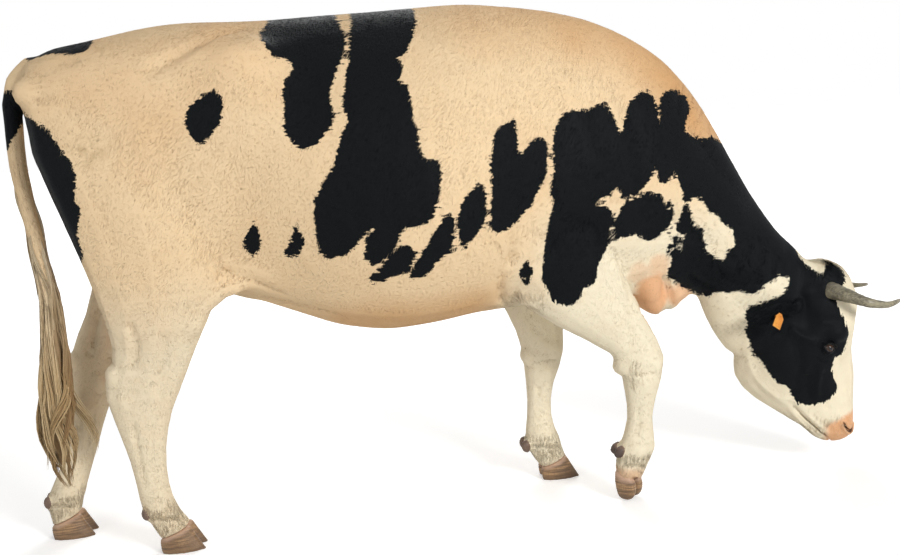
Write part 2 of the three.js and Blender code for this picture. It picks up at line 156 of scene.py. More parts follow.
def from_head(points):
    return turn_from_head(points) + HEAD_PIVOT


def ease(values, low, high):
    """0 below low, 1 above high and smooth between, whichever of the two is larger."""
    t = np.clip((values - low) / (high - low), 0, 1)
    return t * t * (3 - 2 * t)


def wander(points, size, seed):
    """Smooth noise from -1 to 1, with lumps about size across."""
    grid = np.asarray(points) / size
    cell = np.floor(grid).astype(np.int64)
    part = grid - cell
    part = part * part * (3 - 2 * part)
    total = np.zeros(len(grid))
    for corner in product((0, 1), repeat=3):
        x, y, z = (cell + np.array(corner)).T
        mixed = (x * 73856093) ^ (y * 19349663) ^ (z * 83492791) ^ (seed * 2654435761)
        mixed = ((mixed ^ (mixed >> 13)) * 1274126177) & 0x7FFFFFFF
        share = np.prod(np.where(np.array(corner) == 1, part, 1 - part), axis=1)
        total += share * ((mixed & 0xFFFF) / 32767.5 - 1)
    return total


def unit(vectors):
    return vectors / np.maximum(np.linalg.norm(vectors, axis=-1, keepdims=True), 1e-12)


def smooth_line(points, steps, closed=False):
    """A Catmull-Rom curve through points."""
    p = np.asarray(points, float)
    count = len(p)
    spans = count if closed else count - 1
    at = np.linspace(0, spans, spans * steps + (0 if closed else 1), endpoint=not closed)
    i = np.minimum(at.astype(int), spans - 1)
    t = (at - i)[:, None]
    pick = (lambda k: p[k % count]) if closed else (lambda k: p[np.clip(k, 0, count - 1)])
    a, b, c, d = pick(i - 1), pick(i), pick(i + 1), pick(i + 2)
    return 0.5 * (2 * b + (c - a) * t + (2 * a - 5 * b + 4 * c - d) * t**2 + (3 * b - a - 3 * c + d) * t**3)


def distance_to_line(points, line):
    """The distance of each point to a polyline, and how far along it that is, from 0 to 1."""
    best = np.full(len(points), np.inf)
    along = np.zeros(len(points))
    for k, (a, b) in enumerate(zip(line[:-1], line[1:])):
        ab = b - a
        t = np.clip(((points - a) @ ab) / max(ab @ ab, 1e-12), 0, 1)
        d = np.linalg.norm(points - a - t[:, None] * ab, axis=1)
        closer = d < best
        best[closer] = d[closer]
        along[closer] = (k + t[closer]) / (len(line) - 1)
    return best, along


MARK_REACH = 0.06  # how far from a mark's edge its distance is still told


def inside_by(points, outline):
    """Signed distance of 2-D points to a smooth closed outline through points in mm, positive inside it."""
    ring = smooth_line(np.array(outline) / 1000, 3, closed=True)
    ring = np.vstack([ring, ring[:1]])
    reach = MARK_REACH
    result = np.full(len(points), -reach)
    near = np.all((points > ring.min(0) - reach) & (points < ring.max(0) + reach), axis=1)
    close = points[near]
    if len(close) == 0:
        return result
    d, _ = distance_to_line(close, ring)
    inside = np.zeros(len(close), bool)
    for a, b in zip(ring[:-1], ring[1:]):
        spans = (a[1] > close[:, 1]) != (b[1] > close[:, 1])
        rise = b[1] - a[1] if abs(b[1] - a[1]) > 1e-12 else 1e-12
        inside ^= spans & (close[:, 0] < (b[0] - a[0]) * (close[:, 1] - a[1]) / rise + a[0])
    result[near] = np.clip(np.where(inside, d, -d), -reach, reach)
    return result


def from_side(points):
    return points[:, [0, 2]]


# ---- objects ----
def link(name, mesh):
    piece = bpy.data.objects.new(name, mesh)
    bpy.context.scene.collection.objects.link(piece)
    return piece


def object_of(bm, name):
    mesh = bpy.data.meshes.new(name)
    bm.to_mesh(mesh)
    bm.free()
    return link(name, mesh)


def add_to(whole, bm):
    """Adds one bmesh to another and frees it."""
    mesh = bpy.data.meshes.new("part")
    bm.to_mesh(mesh)
    bm.free()
    whole.from_mesh(mesh)
    bpy.data.meshes.remove(mesh)


def settle(piece):
    """Applies the piece's modifiers to its mesh."""
    done = bpy.data.meshes.new_from_object(piece.evaluated_get(bpy.context.evaluated_depsgraph_get()))
    piece.modifiers.clear()
    old = piece.data
    piece.data = done
    bpy.data.meshes.remove(old)


def finish_piece(piece, material, nodes=(), smooth=True):
    piece.data.materials.clear()
    piece.data.materials.append(material)
    if smooth:
        piece.data.shade_smooth()
    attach(piece, "root")
    if nodes:
        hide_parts(*nodes)


def merged_node(name, grow=0.0):
    """A CAD node's loose triangles as one closed bmesh, pushed out by grow."""
    bm = bmesh.new()
    bm.from_mesh(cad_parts[name].data)
    bmesh.ops.remove_doubles(bm, verts=bm.verts, dist=1e-5)
    bm.normal_update()
    if grow:
        for vert in bm.verts:
            vert.co += vert.normal * grow
    return bm


def write_points(mesh, points):
    mesh.vertices.foreach_set("co", np.asarray(points, np.float32).ravel())
    mesh.update()


def write_float(mesh, name, values):
    layer = mesh.attributes.get(name) or mesh.attributes.new(name, "FLOAT", "POINT")
    layer.data.foreach_set("value", np.asarray(values, np.float32))


def mesh_from_arrays(name, points, corners, sides):
    """A mesh of faces that all have the same number of sides."""
    mesh = bpy.data.meshes.new(name)
    faces = len(corners) // sides
    mesh.vertices.add(len(points))
    write_points(mesh, points)
    mesh.loops.add(len(corners))
    mesh.loops.foreach_set("vertex_index", np.asarray(corners, np.int32))
    mesh.polygons.add(faces)
    mesh.polygons.foreach_set("loop_start", np.arange(0, faces * sides, sides, dtype=np.int32))
    mesh.update(calc_edges=True)
    return mesh


# ---- markings: outlines seen from the side in millimetres, x along the cow and z up ----
BLACK_RIGHT = {
    "buttock": [(-1210, 1310), (-1150, 1264), (-1109, 1238), (-1082, 1213), (-1066, 1176), (-1050, 1142),
        (-1036, 1138), (-1030, 1100), (-1037, 1040), (-1030, 1000), (-1044, 960), (-1050, 930), (-1040, 880),
        (-1100, 840), (-1220, 1000)],
    "rump_spot": [(-640, 1290), (-620, 1250), (-635, 1205), (-670, 1160), (-700, 1150), (-725, 1200),
        (-712, 1250), (-680, 1272)],
    "flank_drop": [(-580, 929), (-564, 906), (-566, 872), (-575, 843), (-597, 839), (-614, 861), (-613, 881),
        (-594, 903)],
    "belly_drop": [(-464, 927), (-454, 900), (-446, 875), (-457, 847), (-478, 824), (-504, 836), (-493, 865),
        (-476, 893)],
    "loin": [(-512, 1435), (-493, 1455), (-450, 1600), (-310, 1600), (-302, 1460), (-282, 1400), (-305, 1335),
        (-342, 1260), (-335, 1200), (-351, 1164), (-400, 1120), (-433, 1120), (-458, 1142), (-468, 1166),
        (-469, 1208), (-461, 1243), (-467, 1259), (-459, 1293), (-430, 1325), (-455, 1352), (-483, 1362),
        (-505, 1403)],
    "barrel": [(-262, 1450), (-250, 1600), (-85, 1600), (-85, 1472), (-89, 1424), (-117, 1361), (-154, 1326),
        (-140, 1309), (-158, 1265), (-134, 1256), (-133, 1198), (-125, 1146), (-117, 1072), (-74, 1056),
        (-73, 1011), (-95, 934), (-119, 893), (-181, 883), (-195, 868), (-211, 835), (-244, 806), (-267, 792),
        (-285, 798), (-293, 825), (-283, 858), (-262, 897), (-280, 884), (-312, 851), (-343, 827), (-373, 817),
        (-399, 827), (-413, 856), (-416, 898), (-408, 985), (-390, 1010), (-350, 1075), (-325, 1140),
        (-305, 1180), (-310, 1235), (-285, 1330)],
    "barrel_foot": [(-219, 825), (-181, 842), (-155, 819), (-163, 797), (-180, 765), (-215, 759), (-248, 748),
        (-278, 741), (-285, 754), (-273, 771), (-245, 792)],
    "belly_streak": [(-64, 918), (-51, 897), (-56, 835), (-64, 810), (-84, 795), (-107, 778), (-130, 751),
        (-157, 741), (-177, 750), (-152, 797), (-124, 836), (-97, 875)],
    "girth": [(37, 984), (12, 979), (-18, 948), (-31, 923), (-39, 876), (-35, 819), (-22, 809), (-10, 828),
        (24, 866), (40, 904)],
    "behind_shoulder": [(131, 1144), (145, 1132), (141, 1069), (155, 1060), (199, 1092), (228, 1081),
        (225, 1034), (219, 988), (195, 947), (170, 904), (104, 857), (75, 845), (52, 857), (50, 893), (60, 980),
        (58, 1018), (72, 1084), (86, 1119)],
    "elbow_spot": [(152, 754), (172, 718), (155, 685), (134, 722)],
    "shoulder": [(250, 1094), (272, 1137), (304, 1156), (357, 1154), (403, 1168), (427, 1143), (440, 1103),
        (453, 1084), (472, 1125), (484, 1154), (526, 1188), (561, 1180), (571, 1140), (576, 1102), (586, 1160),
        (630, 1186), (681, 1163), (686, 1123), (658, 1080), (666, 1060), (720, 1036), (750, 1040), (820, 1000),
        (880, 920), (960, 820), (1005, 730), (1018, 672), (1024, 641), (1039, 620), (1056, 611), (1068, 606),
        (1078, 620), (1094, 630), (1113, 629), (1134, 615), (1140, 595), (1130, 568), (1100, 545), (1090, 500),
        (970, 500), (955, 560), (900, 576), (850, 565), (812, 581), (775, 574), (742, 579), (730, 563),
        (679, 586), (633, 613), (589, 652), (602, 704), (583, 716), (578, 745), (563, 776), (529, 764),
        (504, 770), (501, 787), (454, 792), (430, 786), (409, 784), (391, 761), (362, 719), (351, 676),
        (336, 662), (306, 651), (300, 622), (264, 614), (218, 637), (197, 707), (201, 747), (214, 821),
        (223, 869), (239, 915), (227, 944), (245, 998), (243, 1045)],
    "face": [(1030, 600), (1085, 565), (1100, 510), (1110, 484), (1128, 430), (1128, 396), (1122, 368),
        (1098, 353), (1083, 318), (1096, 283), (1104, 243), (1080, 216), (1051, 205), (1013, 203), (974, 220),
        (956, 262), (924, 287), (890, 324), (874, 354), (853, 378), (839, 420), (827, 470), (826, 520),
        (857, 535), (930, 553)],
}
WHITE_RIGHT = {
    "star": [(364, 898), (392, 906), (408, 912), (421, 931), (427, 931), (437, 911), (455, 904), (476, 901),
        (476, 896), (452, 889), (436, 878), (421, 843), (414, 843), (405, 872), (390, 886), (364, 893)],
    "fleck": [(400, 800), (404, 823), (412, 812), (416, 796), (409, 784)],
    "star_arm": [(494, 913), (512, 925), (524, 938), (532, 950), (539, 970), (545, 969), (553, 940), (566, 930),
        (580, 930), (592, 940), (600, 955), (606, 954), (614, 925), (626, 900), (631, 859), (620, 826),
        (608, 788), (590, 764), (580, 735), (550, 740), (547, 765), (565, 784), (587, 803), (597, 825),
        (600, 855), (592, 880), (582, 876), (577, 860), (567, 885), (552, 896), (535, 904), (510, 906)],
    "neck_slash": [(648, 857), (668, 872), (687, 876), (713, 832), (740, 814), (783, 764), (797, 721),
        (770, 705), (760, 674), (711, 720), (698, 774), (672, 792), (658, 827)],
    "neck_fleck": [(612, 755), (620, 773), (628, 762), (641, 768), (634, 750), (636, 728), (625, 738),
        (612, 733)],
    "behind_ear": [(878, 586), (893, 597), (903, 595), (915, 607), (925, 602), (941, 613), (952, 607),
        (974, 622), (961, 600), (965, 590), (954, 578), (949, 565), (930, 570), (917, 562), (900, 572),
        (886, 569), (872, 566)],
}
BLACK_LEFT = {
    "saddle": [(-450, 1600), (-470, 1440), (-520, 1340), (-500, 1220), (-560, 1100), (-500, 1020), (-400, 1040),
        (-340, 960), (-330, 840), (-240, 800), (-170, 880), (-180, 990), (-100, 1060), (-20, 1180), (-60, 1300),
        (-110, 1400), (-85, 1600)],
    "rump": [(-980, 1300), (-880, 1370), (-780, 1350), (-700, 1260), (-740, 1150), (-820, 1100), (-840, 1000),
        (-920, 950), (-1000, 1010), (-1010, 1140), (-1060, 1220)],
    "thigh_drop": [(-800, 860), (-770, 800), (-790, 750), (-830, 770), (-840, 830)],
    "belly_patch": [(-80, 820), (-20, 840), (40, 800), (20, 740), (-60, 720), (-110, 760)],
    "girth_drop": [(100, 1020), (130, 1050), (160, 1000), (150, 930), (110, 920), (90, 970)],
    "shoulder": [(220, 1020), (260, 1120), (340, 1200), (410, 1170), (460, 1120), (520, 1200), (600, 1220),
        (660, 1180), (700, 1090), (760, 1050), (820, 1000), (880, 920), (960, 820), (1005, 730), (1020, 680),
        (1050, 640), (1100, 610), (1120, 575), (1090, 530), (980, 500), (930, 560), (860, 600), (800, 585),
        (720, 600), (660, 680), (620, 800), (550, 860), (470, 820), (400, 740), (360, 660), (280, 640),
        (230, 720), (250, 840), (210, 930)],
    "face": [(980, 600), (1060, 585), (1100, 520), (1125, 460), (1135, 400), (1115, 340), (1100, 270),
        (1060, 230), (990, 235), (930, 290), (870, 350), (830, 430), (830, 510), (860, 550)],
}
WHITE_LEFT = {
    "back_wedge": [(-318, 1600), (-243, 1600), (-262, 1440), (-285, 1380), (-300, 1450)],
    "shoulder_star": [(400, 980), (440, 1010), (490, 970), (470, 910), (420, 900)],
}
# Seen from above, x along the cow and y across it.
TAIL_HEAD_STRIP = [
    (-1165, 10), (-1120, -8), (-1060, -20), (-975, -30), (-965, -100), (-985, -145), (-1050, -118), (-1130, -62)
]
POLL_KNOB = np.array([0.125, -0.01, 0.625])


def past_throat(points):
    """How far each point lies past the plane where the neck ends and the head begins."""
    return 0.78 * (points[:, 0] - 0.963) - 0.62 * (points[:, 2] - 0.48)


def at_poll(points):
    """1 on the knob of the poll, falling to 0 around it."""
    return np.exp(-((np.linalg.norm(to_head(points) - POLL_KNOB, axis=1) / 0.05) ** 2))


def oval(points, centre, radii):
    """How far each point lies from a centre, as a share of the radii."""
    return np.linalg.norm((points - centre) / radii, axis=1)


def on_ear(head):
    """How far out on an ear each point lies, from points in the head's axes."""
    out = np.abs(head[:, 1])
    along = ease(head[:, 0], 0.045, 0.025) * ease(head[:, 0], -0.21, -0.19)
    return ease(out, 0.108, 0.12) * along * ease(head[:, 2], 0.44, 0.46) * ease(head[:, 2], 0.61, 0.59)


def black_at(points):
    """How far inside a black patch each point of the surface lies; below 0 it is in the pale coat."""
    lie = hair_way(points)[:, [0, 2]]
    lie /= np.maximum(np.linalg.norm(lie, axis=1, keepdims=True), 0.2)
    flat = from_side(points)
    along, across = (flat * lie).sum(1), flat[:, 0] * lie[:, 1] - flat[:, 1] * lie[:, 0]
    fringe = wander(np.column_stack([along / 7, across, points[:, 1]]), 0.0062, 3) * 0.0075
    fringe += wander(np.column_stack([along / 5, across, points[:, 1]]), 0.016, 5) * 0.0045
    wobble = lie * fringe[:, None] + np.column_stack([wander(points, 0.03, 7), wander(points, 0.03, 9)]) * 0.002
    wobble *= 1 - 0.55 * ease(points[:, 0], 0.85, 0.98)[:, None]
    flat = flat + wobble
    mark = np.full(len(points), -MARK_REACH)
    for side, black, white in ((RIGHT, BLACK_RIGHT, WHITE_RIGHT), (LEFT, BLACK_LEFT, WHITE_LEFT)):
        here = points[:, 1] * side > (0 if side == LEFT else -1e-9)
        seen = flat[here]
        patch = np.full(len(seen), -MARK_REACH)
        for outline in black.values():
            patch = np.maximum(patch, inside_by(seen, outline))
        for outline in white.values():
            patch = np.minimum(patch, -inside_by(seen, outline))
        mark[here] = patch
    above = points[:, 2] > 1.34
    strip = inside_by(points[above][:, :2] + wobble[above], TAIL_HEAD_STRIP)
    mark[above] = np.maximum(mark[above], strip)
    on_tail = (points[:, 0] < -1.155 - 0.02 * ease(points[:, 2], 1.2, 1.36)) & (np.abs(points[:, 1]) < 0.055)
    tail_band = np.minimum(1.334 - flat[:, 1], flat[:, 1] - 1.214 - 1.4 * (points[:, 0] + 1.215))
    mark = np.where(on_tail, tail_band, mark)
    mark = np.maximum(mark, -MARK_REACH + 0.09 * on_ear(to_head(points)))
    return np.clip(mark, -MARK_REACH, MARK_REACH)


# ---- the skin while it is shaped ----
class Clay:
    """The skin's points while they are pushed about, and a way to find places on its surface."""

    def __init__(self, piece):
        self.piece = piece
        self.mesh = piece.data
        self.body = read_vectors(self.mesh.vertices, "co")
        self.refresh()

    def refresh(self):
        write_points(self.mesh, self.body)
        self.piece.update_tag(refresh={"DATA"})
        bpy.context.view_layer.update()
        self.normal = read_vectors(self.mesh.vertex_normals, "vector")
        self.tree = BVHTree.FromObject(self.piece, bpy.context.evaluated_depsgraph_get())

    def spot(self, side, x, z, head=False, inside=False):
        """The place that is seen from one side at x and z, or from between the legs."""
        start = np.array([[x, 0.0 if inside else side * 0.8, z]])
        way = np.array([[0.0, side if inside else -side, 0.0]])
        near = np.array([[x, side * 0.1, z]])
        if head:
            start, way, near = from_head(start), turn_from_head(way), from_head(near)
        found = self.tree.ray_cast(Vector(start[0]), Vector(way[0]))[0]
        return np.array(found if found is not None else self.tree.find_nearest(Vector(near[0]))[0])

    def line(self, side, *path, head=False):
        """The places of a path that is given in millimetres."""
        return np.array([self.spot(side, x / 1000, z / 1000, head) for x, z in path])

    def nearest(self, point, head=False):
        return np.array(self.tree.find_nearest(Vector(from_head(point)[0] if head else point))[0])

    def swell(self, centre, radii, height, toward=None):
        """Raises an oval mound, or a hollow where height is below 0."""
        near = np.flatnonzero(np.all(np.abs(self.body - centre) < radii, axis=1))
        fall = np.clip(1 - (((self.body[near] - centre) / radii) ** 2).sum(1), 0, None) ** 2
        way = self.normal[near] if toward is None else np.broadcast_to(toward, (len(near), 3))
        self.body[near] += way * (height * fall)[:, None]

    def crease(self, path, width, depth, taper=0.2):
        """Presses a furrow along a smooth path, or raises a ridge where depth is below 0."""
        line = smooth_line(path, 5)
        reach = 2.4 * width
        boxed = (self.body > line.min(0) - reach) & (self.body < line.max(0) + reach)
        near = np.flatnonzero(boxed.all(axis=1))
        if len(near) == 0:
            return
        d, along = distance_to_line(self.body[near], line)
        strength = np.exp(-((d / width) ** 2)) * ease(along, 0, taper) * ease(along, 1, 1 - taper)
        self.body[near] -= self.normal[near] * (depth * strength)[:, None]

    def even(self, rounds, amount):
        """Evens the surface out a little, amount being a share for each point."""
        total, degree = neighbours(self.mesh)
        for _ in range(rounds):
            mean = np.column_stack([total(axis) / degree for axis in self.body.T])
            self.body += (mean - self.body) * np.asarray(amount)[:, None]

    def model(self, mounds=(), furrows=()):
        """Raises the mounds, then presses the furrows."""
        for mound in mounds:
            self.swell(*mound)
        for furrow in furrows:
            self.crease(*furrow)

    def placed(self, side, mounds, furrows, head=False):
        """The mounds and furrows of two tables, set down on one side of the surface."""
        mounds = [(self.line(side, place, head=head)[0], np.array(radii) / 1000, height / 1000)
                  for place, radii, height in mounds]
        furrows = [(self.line(side, *path, head=head), width / 1000, depth / 1000)
                   for path, width, depth in furrows]
        return mounds, furrows


def neighbours(mesh):
    """A sum of values over the points that share an edge with each point, and how many those are."""
    ends = np.empty(len(mesh.edges) * 2, np.int32)
    mesh.edges.foreach_get("vertices", ends)
    a, b = ends.reshape(-1, 2).T
    ends, others = np.concatenate([a, b]), np.concatenate([b, a])
    count = len(mesh.vertices)
    degree = np.maximum(np.bincount(ends, minlength=count), 1)
    return lambda values: np.bincount(ends, values[others], count), degree


def smooth_scalar(mesh, values, rounds):
    total, degree = neighbours(mesh)
    for _ in range(rounds):
        values = 0.4 * values + 0.6 * total(values) / degree
    return values


def weigh(piece, name, share, steps=60, power=1):
    """A vertex group that holds each point's share, rounded to a few steps, raised to a power."""
    group = piece.vertex_groups.new(name=name)
    level = np.round(share * steps).astype(int)
    for step in np.unique(level):
        group.add(np.flatnonzero(level == step).tolist(), (step / steps) ** power, "REPLACE")
    return name


def evening_width(points):
    """How wide the solids' facets are evened out at each point: most on the trunk, least on ears and feet."""
    x, y, z = points.T
    head = to_head(points)
    width = 0.04 - 0.018 * broad_share(points)

    def narrow(mask, value):
        nonlocal width
        width = width + (value - width) * mask

    narrow(ease(x, 0.5, 0.8), 0.024)
    hind = ease(x, -0.58, -0.72) * ease(z, 0.8, 0.5)
    narrow(hind, 0.009)
    fore = ease(x, -0.06, 0.04) * ease(x, 0.7, 0.6) * ease(np.abs(y), 0.05, 0.09) * ease(z, 0.82, 0.52)
    narrow(fore, 0.009)
    narrow(ease(x, 0.42, 0.5) * ease(x, 0.74, 0.68) * ease(z, 0.68, 0.6), 0.014)
    narrow(ease(np.abs(y), 0.075, 0.055) * ease(x, -0.6, -0.7) * ease(z, 0.8, 0.7) * ease(x, -1.06, -1.03), 0.006)
    narrow(ease(x, -1.168, -1.185) * ease(np.abs(y), 0.07, 0.05), 0.006 + 0.016 * ease(z, 1.2, 1.3))
    narrow(ease(past_throat(points), -0.05, 0.02), 0.01)
    narrow(ease(head[:, 2], 0.22, 0.15) * ease(head[:, 0], -0.05, 0.0), 0.007)
    ear = ease(np.abs(head[:, 1]), 0.105, 0.122) * ease(head[:, 0], 0.03, 0.0) * ease(head[:, 2], 0.44, 0.46)
    narrow(ear, 0.004)
    narrow(ease(z, 0.15, 0.09), 0.005)
    return width


def coat_depth_at(points):
    """How far under the solids' surface the skin lies: the coat is short on the head, ears and legs."""
    x, y, z = points.T
    head = to_head(points)
    face = ease(past_throat(points), -0.08, 0.0)
    legs = ease(z, 0.75, 0.5)
    tail = ease(x, -1.165, -1.18) * ease(np.abs(y), 0.08, 0.05)
    short = np.maximum(np.maximum(face, legs), tail)
    return (1.0 - 0.62 * short - 0.2 * ease(head[:, 2], 0.2, 0.14) * face) * sizes().coat_depth


def broad_share(points):
    """Where the body's broad forms are evened out from one facet to the next: back, barrel, rump and neck."""
    x, y, z = points.T
    low = np.interp(x, [-1.12, -0.95, -0.75, -0.64, -0.54, 0.02, 0.09, 0.2, 0.52, 0.66, 0.8, 0.95],
                    [1.14, 0.96, 0.86, 0.66, 0.4, 0.4, 0.66, 0.8, 0.84, 0.76, 0.62, 0.56])
    share = ease(z, low, low + 0.14) * ease(x, -1.13, -0.98)
    return share * ease(past_throat(points), -0.05, -0.16)


def even_out(piece, grain, rounds, width, near_rounds, far_rounds, keep_broad):
    """Evens a surface out by a width at each point, and gives back the thickness that is lost."""
    before = read_vectors(piece.data.vertices, "co")
    widest = math.sqrt(rounds * 0.5 * grain**2 / 2)
    share = np.clip((width / widest) ** 2, 0, 1)
    evening = piece.modifiers.new("evening", "SMOOTH")
    evening.factor = 0.5
    evening.iterations = rounds
    evening.vertex_group = weigh(piece, "evening", np.sqrt(share), power=2)
    settle(piece)
    piece.vertex_groups.clear()
    clay = Clay(piece)
    lost = ((before - clay.body) * clay.normal).sum(1)
    near_lost = smooth_scalar(piece.data, lost, near_rounds)
    far_lost = smooth_scalar(piece.data, near_lost, far_rounds)
    lost = near_lost + (far_lost - near_lost) * keep_broad
    clay.body += clay.normal * lost[:, None]
    clay.refresh()
    return clay


def voxel_remesh(piece, grain):
    remesh = piece.modifiers.new("even grain", "REMESH")
    remesh.mode = "VOXEL"
    remesh.voxel_size = grain
    settle(piece)


PASTERN = ((0.424, -0.142, 0.096), (0.033, 0.045, 0.042))
BROAD_GRAIN = 0.014
SKIN_GROWTH, HORN_KNOB = 0.0005, 0.036


def raw_skin():
    """The flesh solids joined into one closed, even surface, with no cut lines left."""
    whole = bmesh.new()
    plugs = [f"eye_{side}" for side in SIDES]
    plugs += [f"dewclaw_{leg}_{claw}" for leg in LEGS for claw in CLAW_SIDES]
    for name in FLESH + plugs:
        add_to(whole, merged_node(name, grow=SKIN_GROWTH))
    knobs = [(from_head(HORN_BASE * [1, side, 1])[0], HORN_KNOB, (1, 1, 1)) for side in SIDES.values()]
    for place, radius, stretch in knobs + [(PASTERN[0], 1.0, PASTERN[1])]:
        bmesh.ops.create_uvsphere(whole, u_segments=24, v_segments=16, radius=radius,
                                  matrix=Matrix.Translation(place) @ Matrix.Diagonal((*stretch, 1)))
    skin = object_of(whole, "skin")
    broad = link("broad_forms", skin.data.copy())
    voxel_remesh(broad, BROAD_GRAIN)
    start = read_vectors(broad.data.vertices, "co")
    even_out(broad, BROAD_GRAIN, 130, 0.078 * broad_share(start) + 0.004, 12, 60, broad_share(start))
    voxel_remesh(skin, sizes().voxel)
    wrap = skin.modifiers.new("broad forms", "SHRINKWRAP")
    wrap.target = broad
    wrap.vertex_group = weigh(skin, "broad", broad_share(read_vectors(skin.data.vertices, "co")))
    settle(skin)
    skin.vertex_groups.clear()
    bpy.data.meshes.remove(broad.data)
    points = read_vectors(skin.data.vertices, "co")
    width = evening_width(points)
    clay = even_out(skin, sizes().voxel, 260, width, 60, 420, ease(width, 0.012, 0.03))
    clay.body -= clay.normal * coat_depth_at(clay.body)[:, None]
    clay.refresh()
    return skin


def mend(skin, where):
    """Evens out the few nicks that thinning leaves: points that face away from those around them."""
    clay = Clay(skin)
    around = np.column_stack([smooth_scalar(skin.data, clay.normal[:, k], 3) for k in range(3)])
    nick = ((unit(around) * clay.normal).sum(1) < 0.93) & where(clay.body)
    nick = smooth_scalar(skin.data, nick.astype(float), 2) > 0.05
    clay.even(12, 0.6 * nick)
    clay.refresh()


def refine(skin, wanted):
    """Halves the grain of the skin where wanted(points) is true."""
    bm = bmesh.new()
    bm.from_mesh(skin.data)
    bm.verts.ensure_lookup_table()
    fine = wanted(read_vectors(skin.data.vertices, "co"))
    edges = [edge for edge in bm.edges if fine[edge.verts[0].index] and fine[edge.verts[1].index]]
    bmesh.ops.subdivide_edges(bm, edges=edges, cuts=1, use_grid_fill=True, smooth=0.0)
    bm.to_mesh(skin.data)
    bm.free()


TRUNK_FURROWS = [
    # millimetres: path, width, depth
    ([(-735, 1352), (-680, 1388), (-617, 1416), (-552, 1426), (-510, 1400), (-490, 1355)], 24, -6),
    ([(-840, 1325), (-775, 1366), (-715, 1393), (-657, 1421), (-597, 1444), (-530, 1452)], 22, 13),
    ([(-470, 1390), (-360, 1405), (-220, 1405)], 28, -3),
    ([(-1155, 1330), (-1110, 1362), (-1050, 1388), (-980, 1400)], 20, 6),
    ([(-1060, 1230), (-1000, 1080), (-965, 940), (-955, 800)], 34, 5),
    ([(-775, 1250), (-766, 1090), (-747, 930), (-700, 800)], 45, 5),
    ([(-736, 715), (-692, 755), (-655, 775), (-605, 763), (-560, 735), (-506, 707)], 10, 5),
    ([(-700, 800), (-660, 815), (-600, 800), (-540, 765)], 20, -4),
    ([(121, 600), (88, 645), (85, 697), (98, 726), (115, 756), (121, 800)], 12, 18),
    ([(98, 726), (121, 800), (136, 895), (152, 961)], 20, 5), ([(66, 834), (86, 768), (70, 699)], 12, 3),
    ([(300, 1270), (330, 1120), (370, 970)], 30, -4), ([(220, 1000), (260, 900), (330, 820)], 30, 5),
    ([(430, 1260), (490, 1080), (505, 930), (545, 830)], 32, 6),
    ([(930, 620), (840, 660), (740, 730), (640, 810), (570, 880)], 34, 5),
    ([(-500, 672), (-360, 652), (-200, 630), (-30, 635), (50, 645)], 20, -3),
    ([(-607, 707), (-524, 685), (-430, 660), (-360, 645)], 18, 5),
    ([(715, 1165), (685, 1125), (660, 1070)], 9, 3), ([(740, 1125), (710, 1090), (685, 1040)], 9, 3),
    ([(690, 1200), (655, 1160), (635, 1110)], 9, 3), ([(760, 1085), (735, 1050), (710, 1010)], 9, 2.5),
    ([(905, 700), (885, 640), (870, 585)], 13, 4), ([(860, 730), (840, 660), (830, 600)], 13, 4),
    ([(950, 680), (925, 630), (915, 590)], 11, 4), ([(990, 700), (965, 660), (955, 620)], 11, 4),
    ([(660, 1100), (780, 930), (900, 790)], 36, 5)
]
TRUNK_MOUNDS = [
    # millimetres: x and z, radii, height
    ((-550, 1270), (190, 180, 210), 10), ((-400, 1270), (130, 160, 150), -9),
    ((-600, 1030), (100, 150, 140), -6), ((-1100, 1300), (90, 90, 80), 7), ((-870, 1020), (180, 140, 270), 8),
    ((-745, 770), (80, 80, 100), 7), ((170, 740), (85, 80, 120), 9), ((300, 920), (140, 130, 170), 8),
    ((455, 800), (80, 80, 90), 11), ((800, 870), (160, 100, 150), 7)
]
BRISKET_MOUNDS = [
    # millimetres: x and z, radii, height
    ((545, 585), (46, 100, 85), 22), ((637, 585), (48, 80, 32), 10)
]
BRISKET_FURROWS = [
    # millimetres: path, width, depth
    ([(512, 680), (502, 640), (490, 590), (497, 540)], 9, 14),
    ([(585, 660), (594, 610), (598, 560), (598, 510)], 14, 22),
    ([(443, 675), (487, 694), (526, 718), (562, 730)], 12, 4),
    ([(470, 660), (510, 680), (555, 700), (590, 690)], 10, -4),
    ([(464, 700), (447, 660), (457, 610), (479, 554)], 12, 7), ([(545, 655), (540, 620), (548, 580)], 7, 4),
    ([(610, 625), (645, 605), (680, 580)], 8, 6), ([(660, 650), (700, 610), (750, 590)], 12, 4)
]


